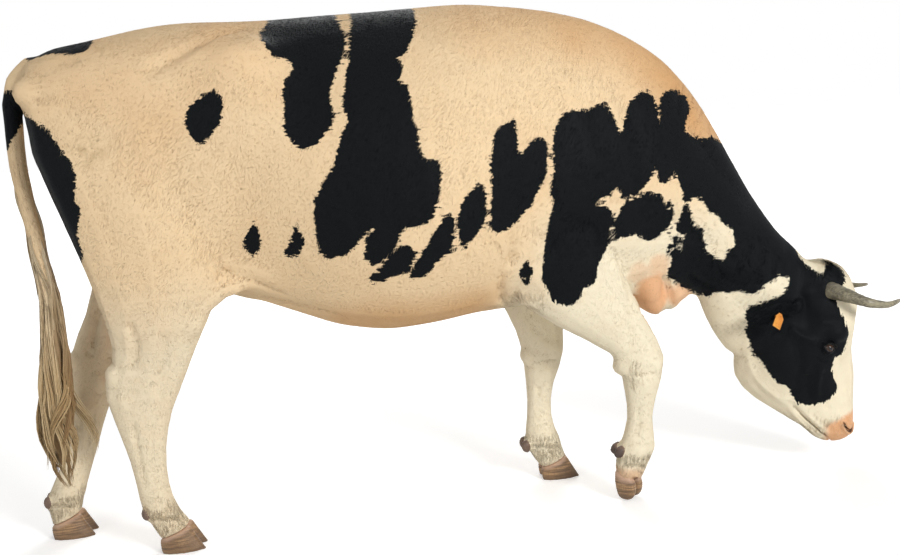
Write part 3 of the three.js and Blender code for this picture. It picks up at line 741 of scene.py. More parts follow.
def shape_trunk(clay):
    for side in SIDES.values():
        mounds, furrows = clay.placed(side, TRUNK_MOUNDS, TRUNK_FURROWS)
        for k in range(8):
            x = 0.08 - 0.075 * k
            course = [(x, 1.24), (x - 0.03, 1.05), (x - 0.02, 0.88), (x + 0.03, 0.76)]
            rib = np.array([clay.spot(side, *place) for place in course])
            furrows.append((rib, 0.02, -0.0012 - 0.0004 * (k % 3)))
        clay.model(mounds, furrows)
    x, _, z = clay.body.T
    tail_head = oval(clay.body, [-1.19, 0, 1.36], [0.08, 0.09, 0.08])
    behind = ease(x, -0.98, -1.06) * ease(z, 0.7, 0.8) * ease(x, -1.17, -1.16)
    clay.even(40, 0.6 * np.maximum(ease(tail_head, 1.2, 0.6), behind))
    clay.refresh()
    spine = [clay.nearest((x, 0.0, 1.6)) for x in np.arange(-1.0, 0.3, 0.1)]
    clay.crease(spine, 0.024, -0.003)
    clay.refresh()
    for side in SIDES.values():
        mounds, furrows = clay.placed(side, BRISKET_MOUNDS, BRISKET_FURROWS)
        clay.model(mounds)
        clay.swell(np.array([0.655, side * 0.05, 0.525]), (0.062, 0.12, 0.06), 0.03, toward=(0, 0, 1))
        clay.swell(np.array([0.603, side * 0.04, 0.515]), (0.024, 0.12, 0.06), 0.016, toward=(0, 0, 1))
        clay.refresh()
        low = oval(clay.body, [0.565, side * 0.06, 0.515], [0.075, 0.1, 0.055])
        clay.even(36, 0.6 * ease(low, 1.2, 0.6))
        clay.model(furrows=furrows)
    clay.refresh()


HIND_FURROWS = [
    # path from rear 0 to front 1 and up, width, depth
    ([(0.3, 0.7), (0.3, 0.61), (0.28, 0.54)], 0.013, 0.012),
    ([(0.62, 0.66), (0.66, 0.58), (0.6, 0.52)], 0.01, 0.005),
    ([(0.34, 0.41), (0.34, 0.3), (0.34, 0.19)], 0.008, 0.006),
    ([(0.7, 0.4), (0.68, 0.3), (0.66, 0.2)], 0.007, 0.003),
    ([(0.15, 0.105), (0.5, 0.108), (0.85, 0.095)], 0.006, 0.004),
]
HIND_MOUNDS = [((0.62, 0.47), (0.032, 0.04, 0.04), 0.008), ((0.06, 0.53), (0.03, 0.05, 0.04), 0.01),
               ((0.25, 0.45), (0.025, 0.04, 0.03), 0.004), ((0.5, 0.145), (0.04, 0.04, 0.03), 0.006)]
FORE_FURROWS = [
    ([(0.36, 0.6), (0.38, 0.53), (0.42, 0.46)], 0.012, 0.007),
    ([(0.22, 0.387), (0.5, 0.385), (0.8, 0.39)], 0.008, 0.005),
    ([(0.36, 0.32), (0.36, 0.25), (0.36, 0.19)], 0.008, 0.007),
    ([(0.72, 0.31), (0.7, 0.25), (0.68, 0.2)], 0.007, 0.003),
    ([(0.15, 0.112), (0.5, 0.115), (0.85, 0.1)], 0.006, 0.004),
]
FORE_MOUNDS = [((0.8, 0.41), (0.03, 0.05, 0.045), 0.007), ((0.55, 0.43), (0.03, 0.035, 0.03), 0.005),
               ((0.55, 0.345), (0.03, 0.035, 0.03), 0.005), ((0.05, 0.4), (0.03, 0.045, 0.035), 0.011),
               ((0.5, 0.155), (0.04, 0.04, 0.03), 0.006)]


def shape_legs(clay):
    for leg, side in zip(LEGS, (RIGHT, LEFT, RIGHT, LEFT)):
        tables = (HIND_MOUNDS, HIND_FURROWS) if leg.startswith("hind") else (FORE_MOUNDS, FORE_FURROWS)
        low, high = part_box(f"lower_leg_{leg}")
        own = clay.body[(clay.body[:, 1] * side > 0.02) & (clay.body[:, 0] > low.x - 0.03)
                        & (clay.body[:, 0] < high.x + 0.03)]

        def place(share, z, inside):
            slab = own[np.abs(own[:, 2] - z) < 0.012]
            x = slab[:, 0].min() + share * (slab[:, 0].max() - slab[:, 0].min())
            return clay.spot(side, x, z, inside=inside)

        mounds, furrows = [], []
        for inside in (False, True):
            mounds += [(place(*spot, inside), radii, height) for spot, radii, height in tables[0]]
            furrows += [(np.array([place(*spot, inside) for spot in path]), width, depth)
                        for path, width, depth in tables[1]]
        clay.model(mounds, furrows)
        claws = [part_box(f"claw_{leg}_{claw}") for claw in CLAW_SIDES]
        foot_y = sum(corner.y for box in claws for corner in box) / 4
        foot_x = (claws[0][0].x + claws[0][1].x) / 2
        for end in (-0.07, 0.07):
            cleft = [clay.nearest((foot_x + end * (1.2 - z * 4), foot_y, z)) for z in (0.12, 0.09, 0.06)]
            clay.crease(cleft, 0.007, 0.007, taper=0.3)
    clay.refresh()


HEAD_FURROWS = [
    # millimetres in the head's axes: path, width, depth
    ([(5, 430), (18, 350), (12, 270), (-10, 225)], 14, 8),
    ([(88, 335), (78, 300), (72, 260), (76, 225)], 10, -7), ([(45, 310), (42, 260), (55, 205)], 16, 9),
    ([(183, 360), (183, 270), (178, 200)], 10, -4),
    ([(-115, 470), (-130, 390), (-110, 310), (-60, 250), (0, 200)], 12, -6),
    ([(78, 400), (30, 425), (-10, 455)], 11, -7), ([(65, 442), (100, 452), (145, 438)], 4, 3.2),
    ([(55, 460), (100, 472), (155, 455)], 5, 3), ([(62, 362), (78, 345), (104, 338)], 4, 3.5),
    ([(52, 350), (72, 328), (104, 320)], 5, 3.2), ([(44, 335), (66, 308), (98, 300)], 5, 2.5),
    ([(120, 360), (145, 335), (160, 300)], 8, 4), ([(35, 555), (45, 520), (35, 475)], 10, 9),
    ([(-30, 455), (-60, 430), (-85, 400)], 8, 4), ([(90, 235), (100, 200), (115, 175)], 7, 4),
    ([(115, 235), (125, 205), (140, 185)], 6, 3)
]
HEAD_MOUNDS = [
    # millimetres in the head's axes: x and z, radii, height
    ((135, 437), (50, 50, 34), 8), ((45, 472), (48, 70, 55), -15), ((-50, 370), (85, 70, 100), 11),
    ((150, 270), (45, 50, 85), -8), ((55, 555), (35, 40, 30), 6), ((150, 135), (55, 50, 50), 6)
]


MIDLINE_MOUNDS = [((0.215, 0, 0.385), (0.06, 0.05, 0.07), -0.006), ((0.195, 0, 0.51), (0.07, 0.07, 0.07), 0.006),
                  (POLL_KNOB, (0.065, 0.08, 0.06), -0.01)]


def shape_head(clay):
    for side in SIDES.values():
        clay.model(*clay.placed(side, HEAD_MOUNDS, HEAD_FURROWS, head=True))
    for place, radii, height in MIDLINE_MOUNDS:
        clay.swell(clay.nearest(place, head=True), radii, height)
    clay.swell(clay.nearest((1.075, 0.0, 0.7)), (0.052, 0.1, 0.06), -0.018)
    clay.refresh()


# Millimetres in the head's axes, x and z.
LIPS = [(8, 196), (28, 170), (52, 143), (78, 118), (102, 96)]


def shape_mouth(clay):
    front = []
    for side in SIDES.values():
        lips = clay.line(side, *LIPS, head=True)
        upper = clay.line(side, *[(x + 10, z + 9) for x, z in LIPS], head=True)
        lower = clay.line(side, *[(x - 11, z - 9) for x, z in LIPS], head=True)
        chin = clay.line(side, (50, 98), (70, 88), head=True)
        corner = clay.line(side, (-12, 222), (0, 207), (12, 190), head=True)
        clay.crease(upper, 0.007, -0.004, taper=0.1)
        clay.crease(lower, 0.007, -0.0045, taper=0.1)
        clay.crease(lips, 0.0036, 0.008, taper=0.06)
        clay.crease(corner, 0.006, 0.004)
        clay.crease(chin, 0.012, -0.004)
        front.append(lips[-1])
    middle = clay.nearest((0.135, 0, 0.074), head=True)
    for end in front:
        part = [end, clay.nearest(end * 0.5 + middle * 0.5), middle]
        clay.crease(part, 0.0036, 0.007, taper=0.02)
    philtrum = [clay.nearest(p, head=True) for p in ((0.205, 0, 0.16), (0.203, 0, 0.12), (0.175, 0, 0.078))]
    clay.crease(philtrum, 0.004, 0.004)
    clay.refresh()


def shape_ears(clay):
    """Cups each ear on the face that looks out and forward."""
    for side in SIDES.values():
        facing = turn_from_head(unit(np.array([[0.53, 0.85 * side, 0]])))[0]
        head = to_head(clay.body)
        near = np.flatnonzero((on_ear(head) > 0.5) & (head[:, 1] * side > 0) & (clay.normal @ facing > 0.1))
        if len(near) == 0:
            continue
        along = head[near, 0]
        middle = 0.519 + 0.1 * (along + 0.06)
        half = np.interp(along, [-0.16, -0.12, -0.06, 0.03], [0.012, 0.026, 0.032, 0.024])
        cup = np.clip(1 - ((head[near, 2] - middle) / half) ** 2, 0, 1) ** 0.7
        cup *= ease(along, -0.165, -0.13) * ease(along, 0.035, 0.0)
        clay.body[near] -= facing * (0.0085 * cup)[:, None]
    clay.refresh()


NOSTRIL = [(0.186, 0.026, 0.124), (0.184, 0.036, 0.11), (0.174, 0.05, 0.106), (0.16, 0.061, 0.116),
           (0.15, 0.066, 0.136)]


def shape_nostrils(clay):
    for side in SIDES.values():
        hole = np.array([clay.nearest(np.array(p) * [1, side, 1], head=True) for p in NOSTRIL])
        centre = hole.mean(0)
        rim = np.array([clay.nearest(p + (p - centre) * 0.55) for p in hole])
        wing = [clay.nearest(np.array(p) * [1, side, 1], head=True) for p in
                ((0.182, 0.04, 0.13), (0.172, 0.052, 0.133), (0.16, 0.058, 0.145))]
        fold = clay.line(side, (168, 150), (152, 168), (150, 190), head=True)
        clay.crease(rim, 0.006, -0.006, taper=0.1)
        clay.crease(wing, 0.006, -0.005)
        clay.crease(fold, 0.006, 0.004)
        clay.crease(hole, 0.0052, 0.018, taper=0.12)
    clay.refresh()


def eye_axes(side):
    """The eye's outward, forward and upward directions in the head's axes."""
    out = unit(np.array([0.24, side, 0.02]))
    forward = np.array([1.0, 0.0, -0.42])
    forward = unit(forward - out * (forward @ out))
    up = np.cross(out, forward) * side * -1
    if up[2] < 0:
        up = -up
    return out, forward, up


LID_REACH, UPPER_LID, LOWER_LID = 0.0185, 0.0125, 0.0098


def lid_edge(forward):
    """The heights of the upper and lower lid's edge along the eye."""
    arch = np.clip(1 - (forward / LID_REACH) ** 2, 0, None) ** 0.75
    return UPPER_LID * arch, -LOWER_LID * arch


def shape_eyelids(clay):
    for side in SIDES.values():
        centre = EYE * [1, side, 1]
        out, forward, up = eye_axes(side)
        head = to_head(clay.body)
        near = np.flatnonzero(np.linalg.norm(head - centre, axis=1) < 0.055)
        q = head[near] - centre
        a, b, c = q @ forward, q @ up, q @ out
        facing = c > -0.004
        near, a, b, c = near[facing], a[facing], b[facing], c[facing]
        top, bottom = lid_edge(a)
        open_by = np.minimum(top - b, b - bottom)
        beyond = np.abs(a) >= LID_REACH
        open_by[beyond] = -np.hypot(np.abs(a[beyond]) - LID_REACH, b[beyond])
        edge = np.abs(open_by) < 0.0008
        b[edge] = np.where(b[edge] > 0, top[edge], bottom[edge])
        spread = np.clip(-open_by, 0, None)
        radius = EYE_RADIUS + 0.0032 + 0.0012 * np.sin(np.clip(spread / 0.0055, 0, 1) * math.pi)
        flat = a * a + b * b
        lid = np.sqrt(np.clip(radius**2 - flat, 0, None))
        keep = ease(spread, 0.004, 0.017)
        crease = np.exp(-(((spread - 0.0085) / 0.0022) ** 2)) * 0.003
        crease += np.exp(-(((spread - 0.0145) / 0.0022) ** 2)) * 0.0016
        crease *= np.where(b > 0, 1.0, 0.75)
        target = c * keep + np.maximum(lid, np.where(flat < radius**2, 0, c)) * (1 - keep) - crease
        inside = open_by > 0.0004
        ball = np.sqrt(np.clip(EYE_RADIUS**2 - flat, 0, None))
        target[inside] = ball[inside] - 0.005
        moved = centre + a[:, None] * forward + b[:, None] * up + target[:, None] * out
        clay.body[near] = from_head(moved)
    clay.refresh()


BARE_FOLDS = [((0.548, 0.585), (0.058, 0.085), 0.95), ((0.64, 0.58), (0.05, 0.042), 0.8),
              ((0.5, 0.67), (0.04, 0.035), 0.4), ((0.56, 0.68), (0.04, 0.045), 0.55)]


def bare_at(points):
    """Where the skin is bare or nearly so: muzzle, brisket folds, udder and the rim above each hoof."""
    x, y, z = points.T
    head = to_head(points)
    muzzle = ease(head[:, 2] - 0.35 * (head[:, 0] - 0.17) + 0.004 * wander(points, 0.012, 21), 0.168, 0.15)
    muzzle *= ease(head[:, 0], 0.085, 0.115)
    udder = ease(np.abs(y), 0.085, 0.06) * ease(z, 0.84, 0.74) * ease(x, -0.66, -0.72) * ease(x, -1.1, -1.04)
    low = 1.0 - ease(x, 0.4, 0.44) * ease(x, 0.74, 0.7) * ease(z, 0.8, 0.74)
    folds = np.zeros(len(points))
    for centre, radii, strength in BARE_FOLDS:
        fold = oval(from_side(points), centre, radii) + 0.12 * wander(points, 0.02, 23)
        folds = np.maximum(folds, ease(fold, 1.15, 0.7) * strength)
    coronet = oval(points - PASTERN[0], [0.004, 0, -0.012], [0.05, 0.06, 0.03])
    bands = ease(coronet, 1.15, 0.75) * 0.6
    return np.clip(np.max([muzzle, udder, folds * (1 - low), bands], axis=0), 0, 1)


# Painted shade: dark in the nostril openings and along the line between the lips, where shade falls in these
# hollows.
def nostril_and_lip_shade_at(points):
    head = to_head(points)
    head[:, 1] = np.abs(head[:, 1])
    d, _ = distance_to_line(head, smooth_line(NOSTRIL, 4))
    lips, _ = distance_to_line(head[:, [0, 2]], smooth_line(np.array(LIPS) / 1000, 4))
    return np.maximum(ease(d, 0.0085, 0.004), 0.55 * ease(lips, 0.0035, 0.001) * ease(head[:, 1], 0.1, 0.09))


def gold_and_shade_at(points):
    flat = from_side(points)
    crest = np.array([(0.1, 1.47), (0.3, 1.43), (0.5, 1.36), (0.66, 1.22), (0.75, 1.08)])
    d, along = distance_to_line(flat, crest)
    gold = ease(d, 0.2, 0.02) * (0.35 + 0.65 * along)
    # Painted shade: a warm tint along the hollow before the hip bone, and along the hollows behind the hip and in
    # front of the thigh.
    d, _ = distance_to_line(flat, np.array([(-0.62, 1.43), (-0.5, 1.36), (-0.47, 1.28)]))
    gold = np.maximum(gold, 0.22 * ease(d, 0.14, 0.02))
    d, _ = distance_to_line(flat, np.array([(-0.95, 1.36), (-0.72, 1.3), (-0.8, 1.15)]))
    gold = np.maximum(gold, 0.16 * ease(d, 0.22, 0.02))
    # Under the belly the warm tint is partly the coat's own tone and partly painted shade on the underside.
    belly = ease(points[:, 2], 0.72, 0.62) * ease(points[:, 0], -0.66, -0.5) * ease(points[:, 0], 0.12, 0.0)
    gold = np.maximum(gold, (0.3 + 0.35 * ease(points[:, 0], -0.42, -0.36)) * belly)
    return np.clip(gold + 0.1 * wander(points, 0.11, 31) * (gold > 0.02), 0, 1)


def milk_at(points):
    """Where the pale coat is palest: the legs, the face and the underside of the neck."""
    x, y, z = points.T
    legs = ease(z, 0.86, 0.55) * (ease(x, 0.05, 0.16) + ease(x, -0.6, -0.72) * 0.75)
    face = ease(x, 0.62, 0.8)
    shoulder = ease(x, 0.1, 0.28) * ease(z, 0.95, 0.72)
    return np.clip(np.maximum(np.maximum(legs, face), shoulder), 0, 1)


def stain_at(points):
    x, y, z = points.T
    feet = ease(z, 0.15, 0.04) * 0.18 * (0.6 + 0.4 * wander(points, 0.03, 41))
    knee = 0.95 * ease(oval(points, [0.555, -0.165, 0.375], [0.022, 0.035, 0.042]), 1.3, 0.3)
    thigh = 0.5 * ease(oval(from_side(points), [-0.99, 1.16], [0.07, 0.05]), 1.2, 0.2) * (y < 0)
    return np.clip(np.maximum(np.maximum(feet, knee), thigh), 0, 1)


def down_at(points):
    """How far the hair runs down rather than back: 0 on the trunk, 1 on legs and head."""
    x, y, z = points.T
    legs = ease(z, 0.86, 0.62) * np.maximum(ease(x, -0.6, -0.72), ease(x, 0.02, 0.1) * ease(x, 0.62, 0.55))
    return np.clip(np.maximum(legs, ease(x, 0.93, 1.0)), 0, 1)


MARKINGS = {"black": black_at, "gold": gold_and_shade_at, "milk": milk_at, "bare": bare_at, "stain": stain_at,
            "nostril": nostril_and_lip_shade_at, "down": down_at}


# ---- node groups and materials ----
class Nodes:
    """Short ways to add and wire shader nodes."""

    def __init__(self, tree):
        self.tree = tree

    def add(self, kind, **values):
        node = self.tree.nodes.new(kind)
        for name, value in values.items():
            setattr(node, name, value)
        return node

    def wire(self, source, target):
        self.tree.links.new(source, target)

    def feed(self, socket, value):
        if isinstance(value, bpy.types.NodeSocket):
            self.wire(value, socket)
        elif hasattr(value, "__len__"):
            socket.default_value = list(value) + [1.0] * (len(socket.default_value) - len(value))
        else:
            socket.default_value = value

    def math(self, operation, *values):
        node = self.add("ShaderNodeMath", operation=operation)
        for socket, value in zip(node.inputs, values):
            self.feed(socket, value)
        return node.outputs[0]

    def times(self, a, b):
        return self.math("MULTIPLY", a, b)

    def mix(self, factor, a, b):
        node = self.add("ShaderNodeMix", data_type="RGBA", clamp_factor=True)
        self.feed(node.inputs["Factor"], factor)
        self.feed(node.inputs[6], a)
        self.feed(node.inputs[7], b)
        return node.outputs[2]

    def blend(self, factor, a, b):
        node = self.add("ShaderNodeMix", data_type="FLOAT", clamp_factor=True)
        self.feed(node.inputs["Factor"], factor)
        self.feed(node.inputs[2], a)
        self.feed(node.inputs[3], b)
        return node.outputs[0]

    def span(self, value, low, high, to_low=0.0, to_high=1.0):
        node = self.add("ShaderNodeMapRange")
        for socket, item in zip(node.inputs, (value, low, high, to_low, to_high)):
            self.feed(socket, item)
        return node.outputs[0]

    def filled(self, node, **values):
        """Feeds the node's inputs of these names and returns its outputs."""
        for name, value in values.items():
            self.feed(node.inputs[name.replace("_", " ").capitalize()], value)
        return node.outputs

    def noise(self, vector, scale, detail=3.0):
        node = self.add("ShaderNodeTexNoise")
        return self.filled(node, vector=vector, scale=scale, detail=detail, roughness=0.55)["Fac"]

    def mapped(self, vector, scale=(1, 1, 1), turn=(0, 0, 0)):
        return self.filled(self.add("ShaderNodeMapping"), vector=vector, scale=scale, rotation=turn)["Vector"]

    def place(self):
        return self.add("ShaderNodeTexCoord").outputs["Object"]

    def attribute(self, name):
        return self.add("ShaderNodeAttribute", attribute_name=name).outputs["Fac"]

    def group(self, tree, **values):
        return self.filled(self.add("ShaderNodeGroup", node_tree=tree), **values)

    def seen(self):
        """1 on rays that show the ground or the sky itself, or show it in a polished or clear surface."""
        path = self.add("ShaderNodeLightPath").outputs
        mirrored = self.math("MAXIMUM", path["Is Glossy Ray"], path["Is Transmission Ray"])
        return self.math("MAXIMUM", path["Is Camera Ray"], mirrored)

    def finish(self, shader, colour, roughness, height=None, strength=0.0, depth=0.0):
        """Wires a material's colour, roughness and relief to its shader."""
        self.wire(colour, shader.inputs["Base Color"])
        self.wire(roughness, shader.inputs["Roughness"])
        if height is not None:
            relief = self.add("ShaderNodeBump")
            self.filled(relief, strength=strength, distance=depth, height=height)
            self.wire(relief.outputs["Normal"], shader.inputs["Normal"])


def new_group(name, inputs, outputs):
    """A shader node group; inputs and outputs are pairs of a name and a socket kind."""
    tree = bpy.data.node_groups.new(name, "ShaderNodeTree")
    for label, kind in inputs:
        tree.interface.new_socket(name=label, in_out="INPUT", socket_type=f"NodeSocket{kind}")
    for label, kind in outputs:
        tree.interface.new_socket(name=label, in_out="OUTPUT", socket_type=f"NodeSocket{kind}")
    nodes = Nodes(tree)
    return tree, nodes, nodes.add("NodeGroupInput").outputs, nodes.add("NodeGroupOutput").inputs


def hair_lie_group():
    """Fine streaks that run along the lie of the hair."""
    existing = bpy.data.node_groups.get("Hair lie")
    if existing:
        return existing
    tree, n, given, out = new_group("Hair lie", [("Vector", "Vector"), ("Down", "Float"), ("Fineness", "Float")],
                                    [("Streaks", "Float"), ("Clumps", "Float")])
    where = given["Vector"]
    back = n.mapped(where, scale=(0.16, 1, 1), turn=(0, math.radians(-56), 0))
    down = n.mapped(where, scale=(1, 1, 0.16))
    streaks = n.blend(given["Down"], n.noise(back, given["Fineness"]), n.noise(down, given["Fineness"]))
    coarse = n.times(given["Fineness"], 0.22)
    clumps = n.blend(given["Down"], n.noise(back, coarse), n.noise(down, coarse))
    n.wire(streaks, out["Streaks"])
    n.wire(clumps, out["Clumps"])
    return tree


def coat_colour_group():
    """The colour of the coat from its markings."""
    existing = bpy.data.node_groups.get("Coat colour")
    if existing:
        return existing
    masks = ("Black", "Raggedness", "Fringe", "Gold", "Milk", "Bare", "Stain", "Nostril", "Tone")
    inputs = [("Vector", "Vector")] + [(name, "Float") for name in masks]
    inputs += [(f"{name} colour", "Color") for name in ("Pale", "Milk", "Gold", "Black", "Pink", "Stain")]
    tree, n, given, out = new_group("Coat colour", inputs, [("Color", "Color"), ("Dark", "Float")])
    where = given["Vector"]
    fray = n.math("SUBTRACT", n.noise(where, 260.0, 2.0), 0.5)
    edge = n.math("MULTIPLY_ADD", fray, n.times(given["Raggedness"], 4.0), given["Black"])
    edge = n.math("MULTIPLY_ADD", n.math("SUBTRACT", given["Fringe"], 0.5), 0.034, edge)
    dark = n.span(edge, -0.0007, 0.0007)
    broad = n.noise(where, 5.0, 4.0)
    # Gold marks the sun-bleached coat, and also painted shade in the hollows and under the belly.
    warm = n.math("MULTIPLY_ADD", n.math("SUBTRACT", broad, 0.5), 0.55, given["Gold"])
    pale = n.mix(given["Milk"], given["Pale colour"], given["Milk colour"])
    pale = n.mix(n.times(n.span(warm, 0.0, 1.0), 0.9), pale, given["Gold colour"])
    mottle = n.noise(where, 38.0, 3.0)
    pale = n.mix(n.times(n.span(mottle, 0.5, 0.75), 0.1), pale, given["Gold colour"])
    shade = n.math("ADD", n.times(given["Tone"], 0.14), 0.91)
    toned = n.add("ShaderNodeVectorMath", operation="SCALE")
    n.filled(toned, vector=pale, scale=shade)
    speckle = n.span(n.noise(where, 210.0, 2.0), 0.6, 0.66)
    flesh = n.mix(n.times(speckle, 0.35), given["Pink colour"], given["Stain colour"])
    bared = n.mix(given["Bare"], toned.outputs[0], flesh)
    soiled = n.mix(n.times(given["Stain"], n.span(mottle, 0.35, 0.65)), bared, given["Stain colour"])
    marked = n.mix(dark, soiled, given["Black colour"])
    # Painted shade in the nostrils and along the mouth line.
    marked = n.mix(n.times(given["Nostril"], 0.93), marked, (0.05, 0.018, 0.012))
    n.wire(marked, out["Color"])
    n.wire(dark, out["Dark"])
    return tree


def new_material(name, specular=0.5):
    material = bpy.data.materials.new(name)
    material.use_nodes = True
    shader = material.node_tree.nodes["Principled BSDF"]
    shader.inputs["Specular IOR Level"].default_value = specular
    return material, Nodes(material.node_tree), shader


def coat_material(name, raggedness, tone, fineness, bump):
    """The coat's finish; on the skin the tone comes from streaks, and on tufts from each tuft."""
    existing = bpy.data.materials.get(name)
    if existing:
        return existing
    c = colours()
    material, n, shader = new_material(name, specular=0.05)
    place = n.place()
    marks = {key: n.attribute(key) for key in ("black", "gold", "milk", "bare", "stain", "nostril")}
    lie = n.group(hair_lie_group(), vector=place, down=n.attribute("down"), fineness=fineness)
    toned = n.attribute("tone") if tone else n.blend(0.5, lie["Streaks"], lie["Clumps"])
    fringe = 0.5 if tone else lie["Clumps"]
    result = n.group(coat_colour_group(), vector=place, raggedness=raggedness, tone=toned, fringe=fringe,
                     pale_colour=c.cream, milk_colour=c.milk, gold_colour=c.gold, black_colour=c.black,
                     pink_colour=c.pink, stain_colour=c.stain, **marks)
    rough = n.blend(result["Dark"], 0.8, 0.55)
    rough = n.blend(marks["bare"], rough, 0.42)
    rough = n.math("ADD", rough, n.times(n.math("SUBTRACT", lie["Clumps"], 0.5), 0.2))
    grain = n.math("ADD", n.times(lie["Clumps"], 0.9), lie["Streaks"])
    pebbles = n.add("ShaderNodeTexVoronoi")
    n.feed(pebbles.inputs["Vector"], place)
    pebbles.inputs["Scale"].default_value = 330.0
    height = n.blend(marks["bare"], grain, n.times(pebbles.outputs["Distance"], 1.2))
    n.finish(shader, result["Color"], rough, height, strength=bump, depth=0.0016)
    return material


def head_and_feet(points):
    head = to_head(points)
    return ((past_throat(points) > -0.02) & (head[:, 0] > -0.2)) | (points[:, 2] < 0.13)


def eyes_and_mouth(points):
    head = to_head(points)
    mirrored = np.column_stack([head[:, 0], np.abs(head[:, 1]), head[:, 2]])
    by_eye = np.linalg.norm(mirrored - EYE, axis=1) < 0.042
    return by_eye | ((head[:, 2] < 0.17) & (head[:, 0] > 0.0))


def make_skin():
    skin = raw_skin()
    clay = Clay(skin)
    shape_trunk(clay)
    shape_legs(clay)
    refine(skin, head_and_feet)
    clay = Clay(skin)
    clay.even(4, np.full(len(clay.body), 0.35) * head_and_feet(clay.body))
    shape_head(clay)
    shape_ears(clay)
    refine(skin, eyes_and_mouth)
    clay = Clay(skin)
    clay.even(2, np.full(len(clay.body), 0.3) * eyes_and_mouth(clay.body))
    clay.refresh()
    shape_mouth(clay)
    shape_nostrils(clay)
    shape_eyelids(clay)
    points = clay.body
    detail = 0.6 - 0.18 * down_at(points)
    detail[head_and_feet(points)] = 0.22
    detail[eyes_and_mouth(points)] = 0.0
    triangles = sum(len(face.vertices) - 2 for face in skin.data.polygons)
    thin = skin.modifiers.new("thin", "DECIMATE")
    thin.ratio = sizes().skin_triangles / triangles
    thin.vertex_group = weigh(skin, "coarse", detail, steps=50)
    thin.vertex_group_factor = 0.02
    settle(skin)
    skin.vertex_groups.clear()
    mend(skin, lambda points: ~(head_and_feet(points) | eyes_and_mouth(points)))
    points = read_vectors(skin.data.vertices, "co")
    for name, rule in MARKINGS.items():
        write_float(skin.data, name, rule(points))
    material = coat_material("skin_coat", raggedness=0.0015, tone=False, fineness=620.0, bump=0.16)
    finish_piece(skin, material, FLESH)


class COW_OT_skin(bpy.types.Operator):
    """Makes the one skin that stands for all the nodes of flesh"""

    bl_idname = "cow.skin"
    bl_label = "Skin"

    def execute(self, context):
        make_skin()
        return {"FINISHED"}


# ---- eyes ----
def eye_material():
    c = colours()
    material, n, shader = new_material("eye_gloss")
    gaze = n.add("ShaderNodeSeparateXYZ")
    n.wire(n.add("ShaderNodeAttribute", attribute_name="gaze").outputs["Vector"], gaze.inputs[0])
    across, up = gaze.outputs["X"], gaze.outputs["Y"]
    from_middle = n.math("SQRT", n.math("ADD", n.times(across, across), n.times(up, up)))
    slit = n.math("SQRT", n.math("ADD", n.math("POWER", n.math("DIVIDE", across, 0.36), 2.0),
                                 n.math("POWER", n.math("DIVIDE", up, 0.17), 2.0)))
    rays = n.noise(n.place(), 900.0)
    iris = n.mix(n.span(rays, 0.35, 0.7), c.iris, (0.05, 0.02, 0.008))
    iris = n.mix(n.span(from_middle, 0.58, 0.68), iris, (0.008, 0.006, 0.005))
    # The white of the eye is painted nearly black: painted shade, as the eye lies in the shadow of the brow.
    white = n.mix(n.span(from_middle, 0.8, 0.9), iris, (0.045, 0.032, 0.028))
    colour = n.mix(n.span(slit, 1.06, 0.94), white, (0.006, 0.008, 0.012))
    n.finish(shader, colour, n.span(n.noise(n.place(), 160.0, 2.0), 0.3, 0.7, 0.05, 0.12))
    shader.inputs["IOR"].default_value = 1.38
    return material


def lid_rim_material():
    material, n, shader = new_material("lid_rim")
    damp = n.noise(n.place(), 420.0)
    colour = n.mix(damp, (0.006, 0.005, 0.005), (0.018, 0.014, 0.013))
    n.finish(shader, colour, n.span(damp, 0.3, 0.7, 0.18, 0.4))
    return material


def tube(bm, line, radii, sides=8):
    """A closed round tube along a line."""
    line = np.asarray(line, float)
    ahead = unit(np.gradient(line, axis=0))
    across = np.cross(ahead[0], [0, 0, 1.0])
    if np.linalg.norm(across) < 1e-3:
        across = np.cross(ahead[0], [0, 1.0, 0])
    rings = []
    for point, way, radius in zip(line, ahead, radii):
        across = unit(across - way * (across @ way))
        other = np.cross(way, across)
        ring = []
        for k in range(sides):
            angle = 2 * math.pi * k / sides
            ring.append(bm.verts.new(point + radius * (math.cos(angle) * across + math.sin(angle) * other)))
        if rings:
            for k in range(sides):
                bm.faces.new((rings[-1][k], rings[-1][k - 1], ring[k - 1], ring[k]))
        rings.append(ring)
    bm.faces.new(rings[0])
    bm.faces.new(list(reversed(rings[-1])))


def make_eyes():
    gloss, rim = eye_material(), lid_rim_material()
    for name, side in SIDES.items():
        out, forward, up = eye_axes(side)
        bm = bmesh.new()
        bmesh.ops.create_uvsphere(bm, u_segments=64, v_segments=40, radius=EYE_RADIUS)
        axes = np.column_stack([forward, up, out])
        eye = object_of(bm, f"eyeball_{name}")
        local = read_vectors(eye.data.vertices, "co")
        bulge = np.clip(local[:, 2] / EYE_RADIUS - 0.74, 0, None) * 0.01
        local += unit(local) * bulge[:, None]
        place = from_head(local @ axes.T + EYE * [1, side, 1])
        write_points(eye.data, place)
        gaze = eye.data.attributes.new("gaze", "FLOAT_VECTOR", "POINT")
        gaze.data.foreach_set("vector", (local / EYE_RADIUS).astype(np.float32).ravel())
        if np.linalg.det(axes) < 0:
            eye.data.flip_normals()
        finish_piece(eye, gloss, [f"eye_{name}"])
        a = np.concatenate([np.linspace(-1, 1, 40), np.linspace(1, -1, 40)[1:]]) * LID_REACH
        top, bottom = lid_edge(a)
        b = np.where(np.arange(len(a)) < 40, top, bottom)
        c = np.sqrt((EYE_RADIUS + 0.0022) ** 2 - a**2 - b**2)
        line = EYE * [1, side, 1] + a[:, None] * forward + b[:, None] * up + c[:, None] * out
        bm = bmesh.new()
        tube(bm, from_head(line), np.full(len(line), 0.0014))
        finish_piece(object_of(bm, f"lid_rim_{name}"), rim)


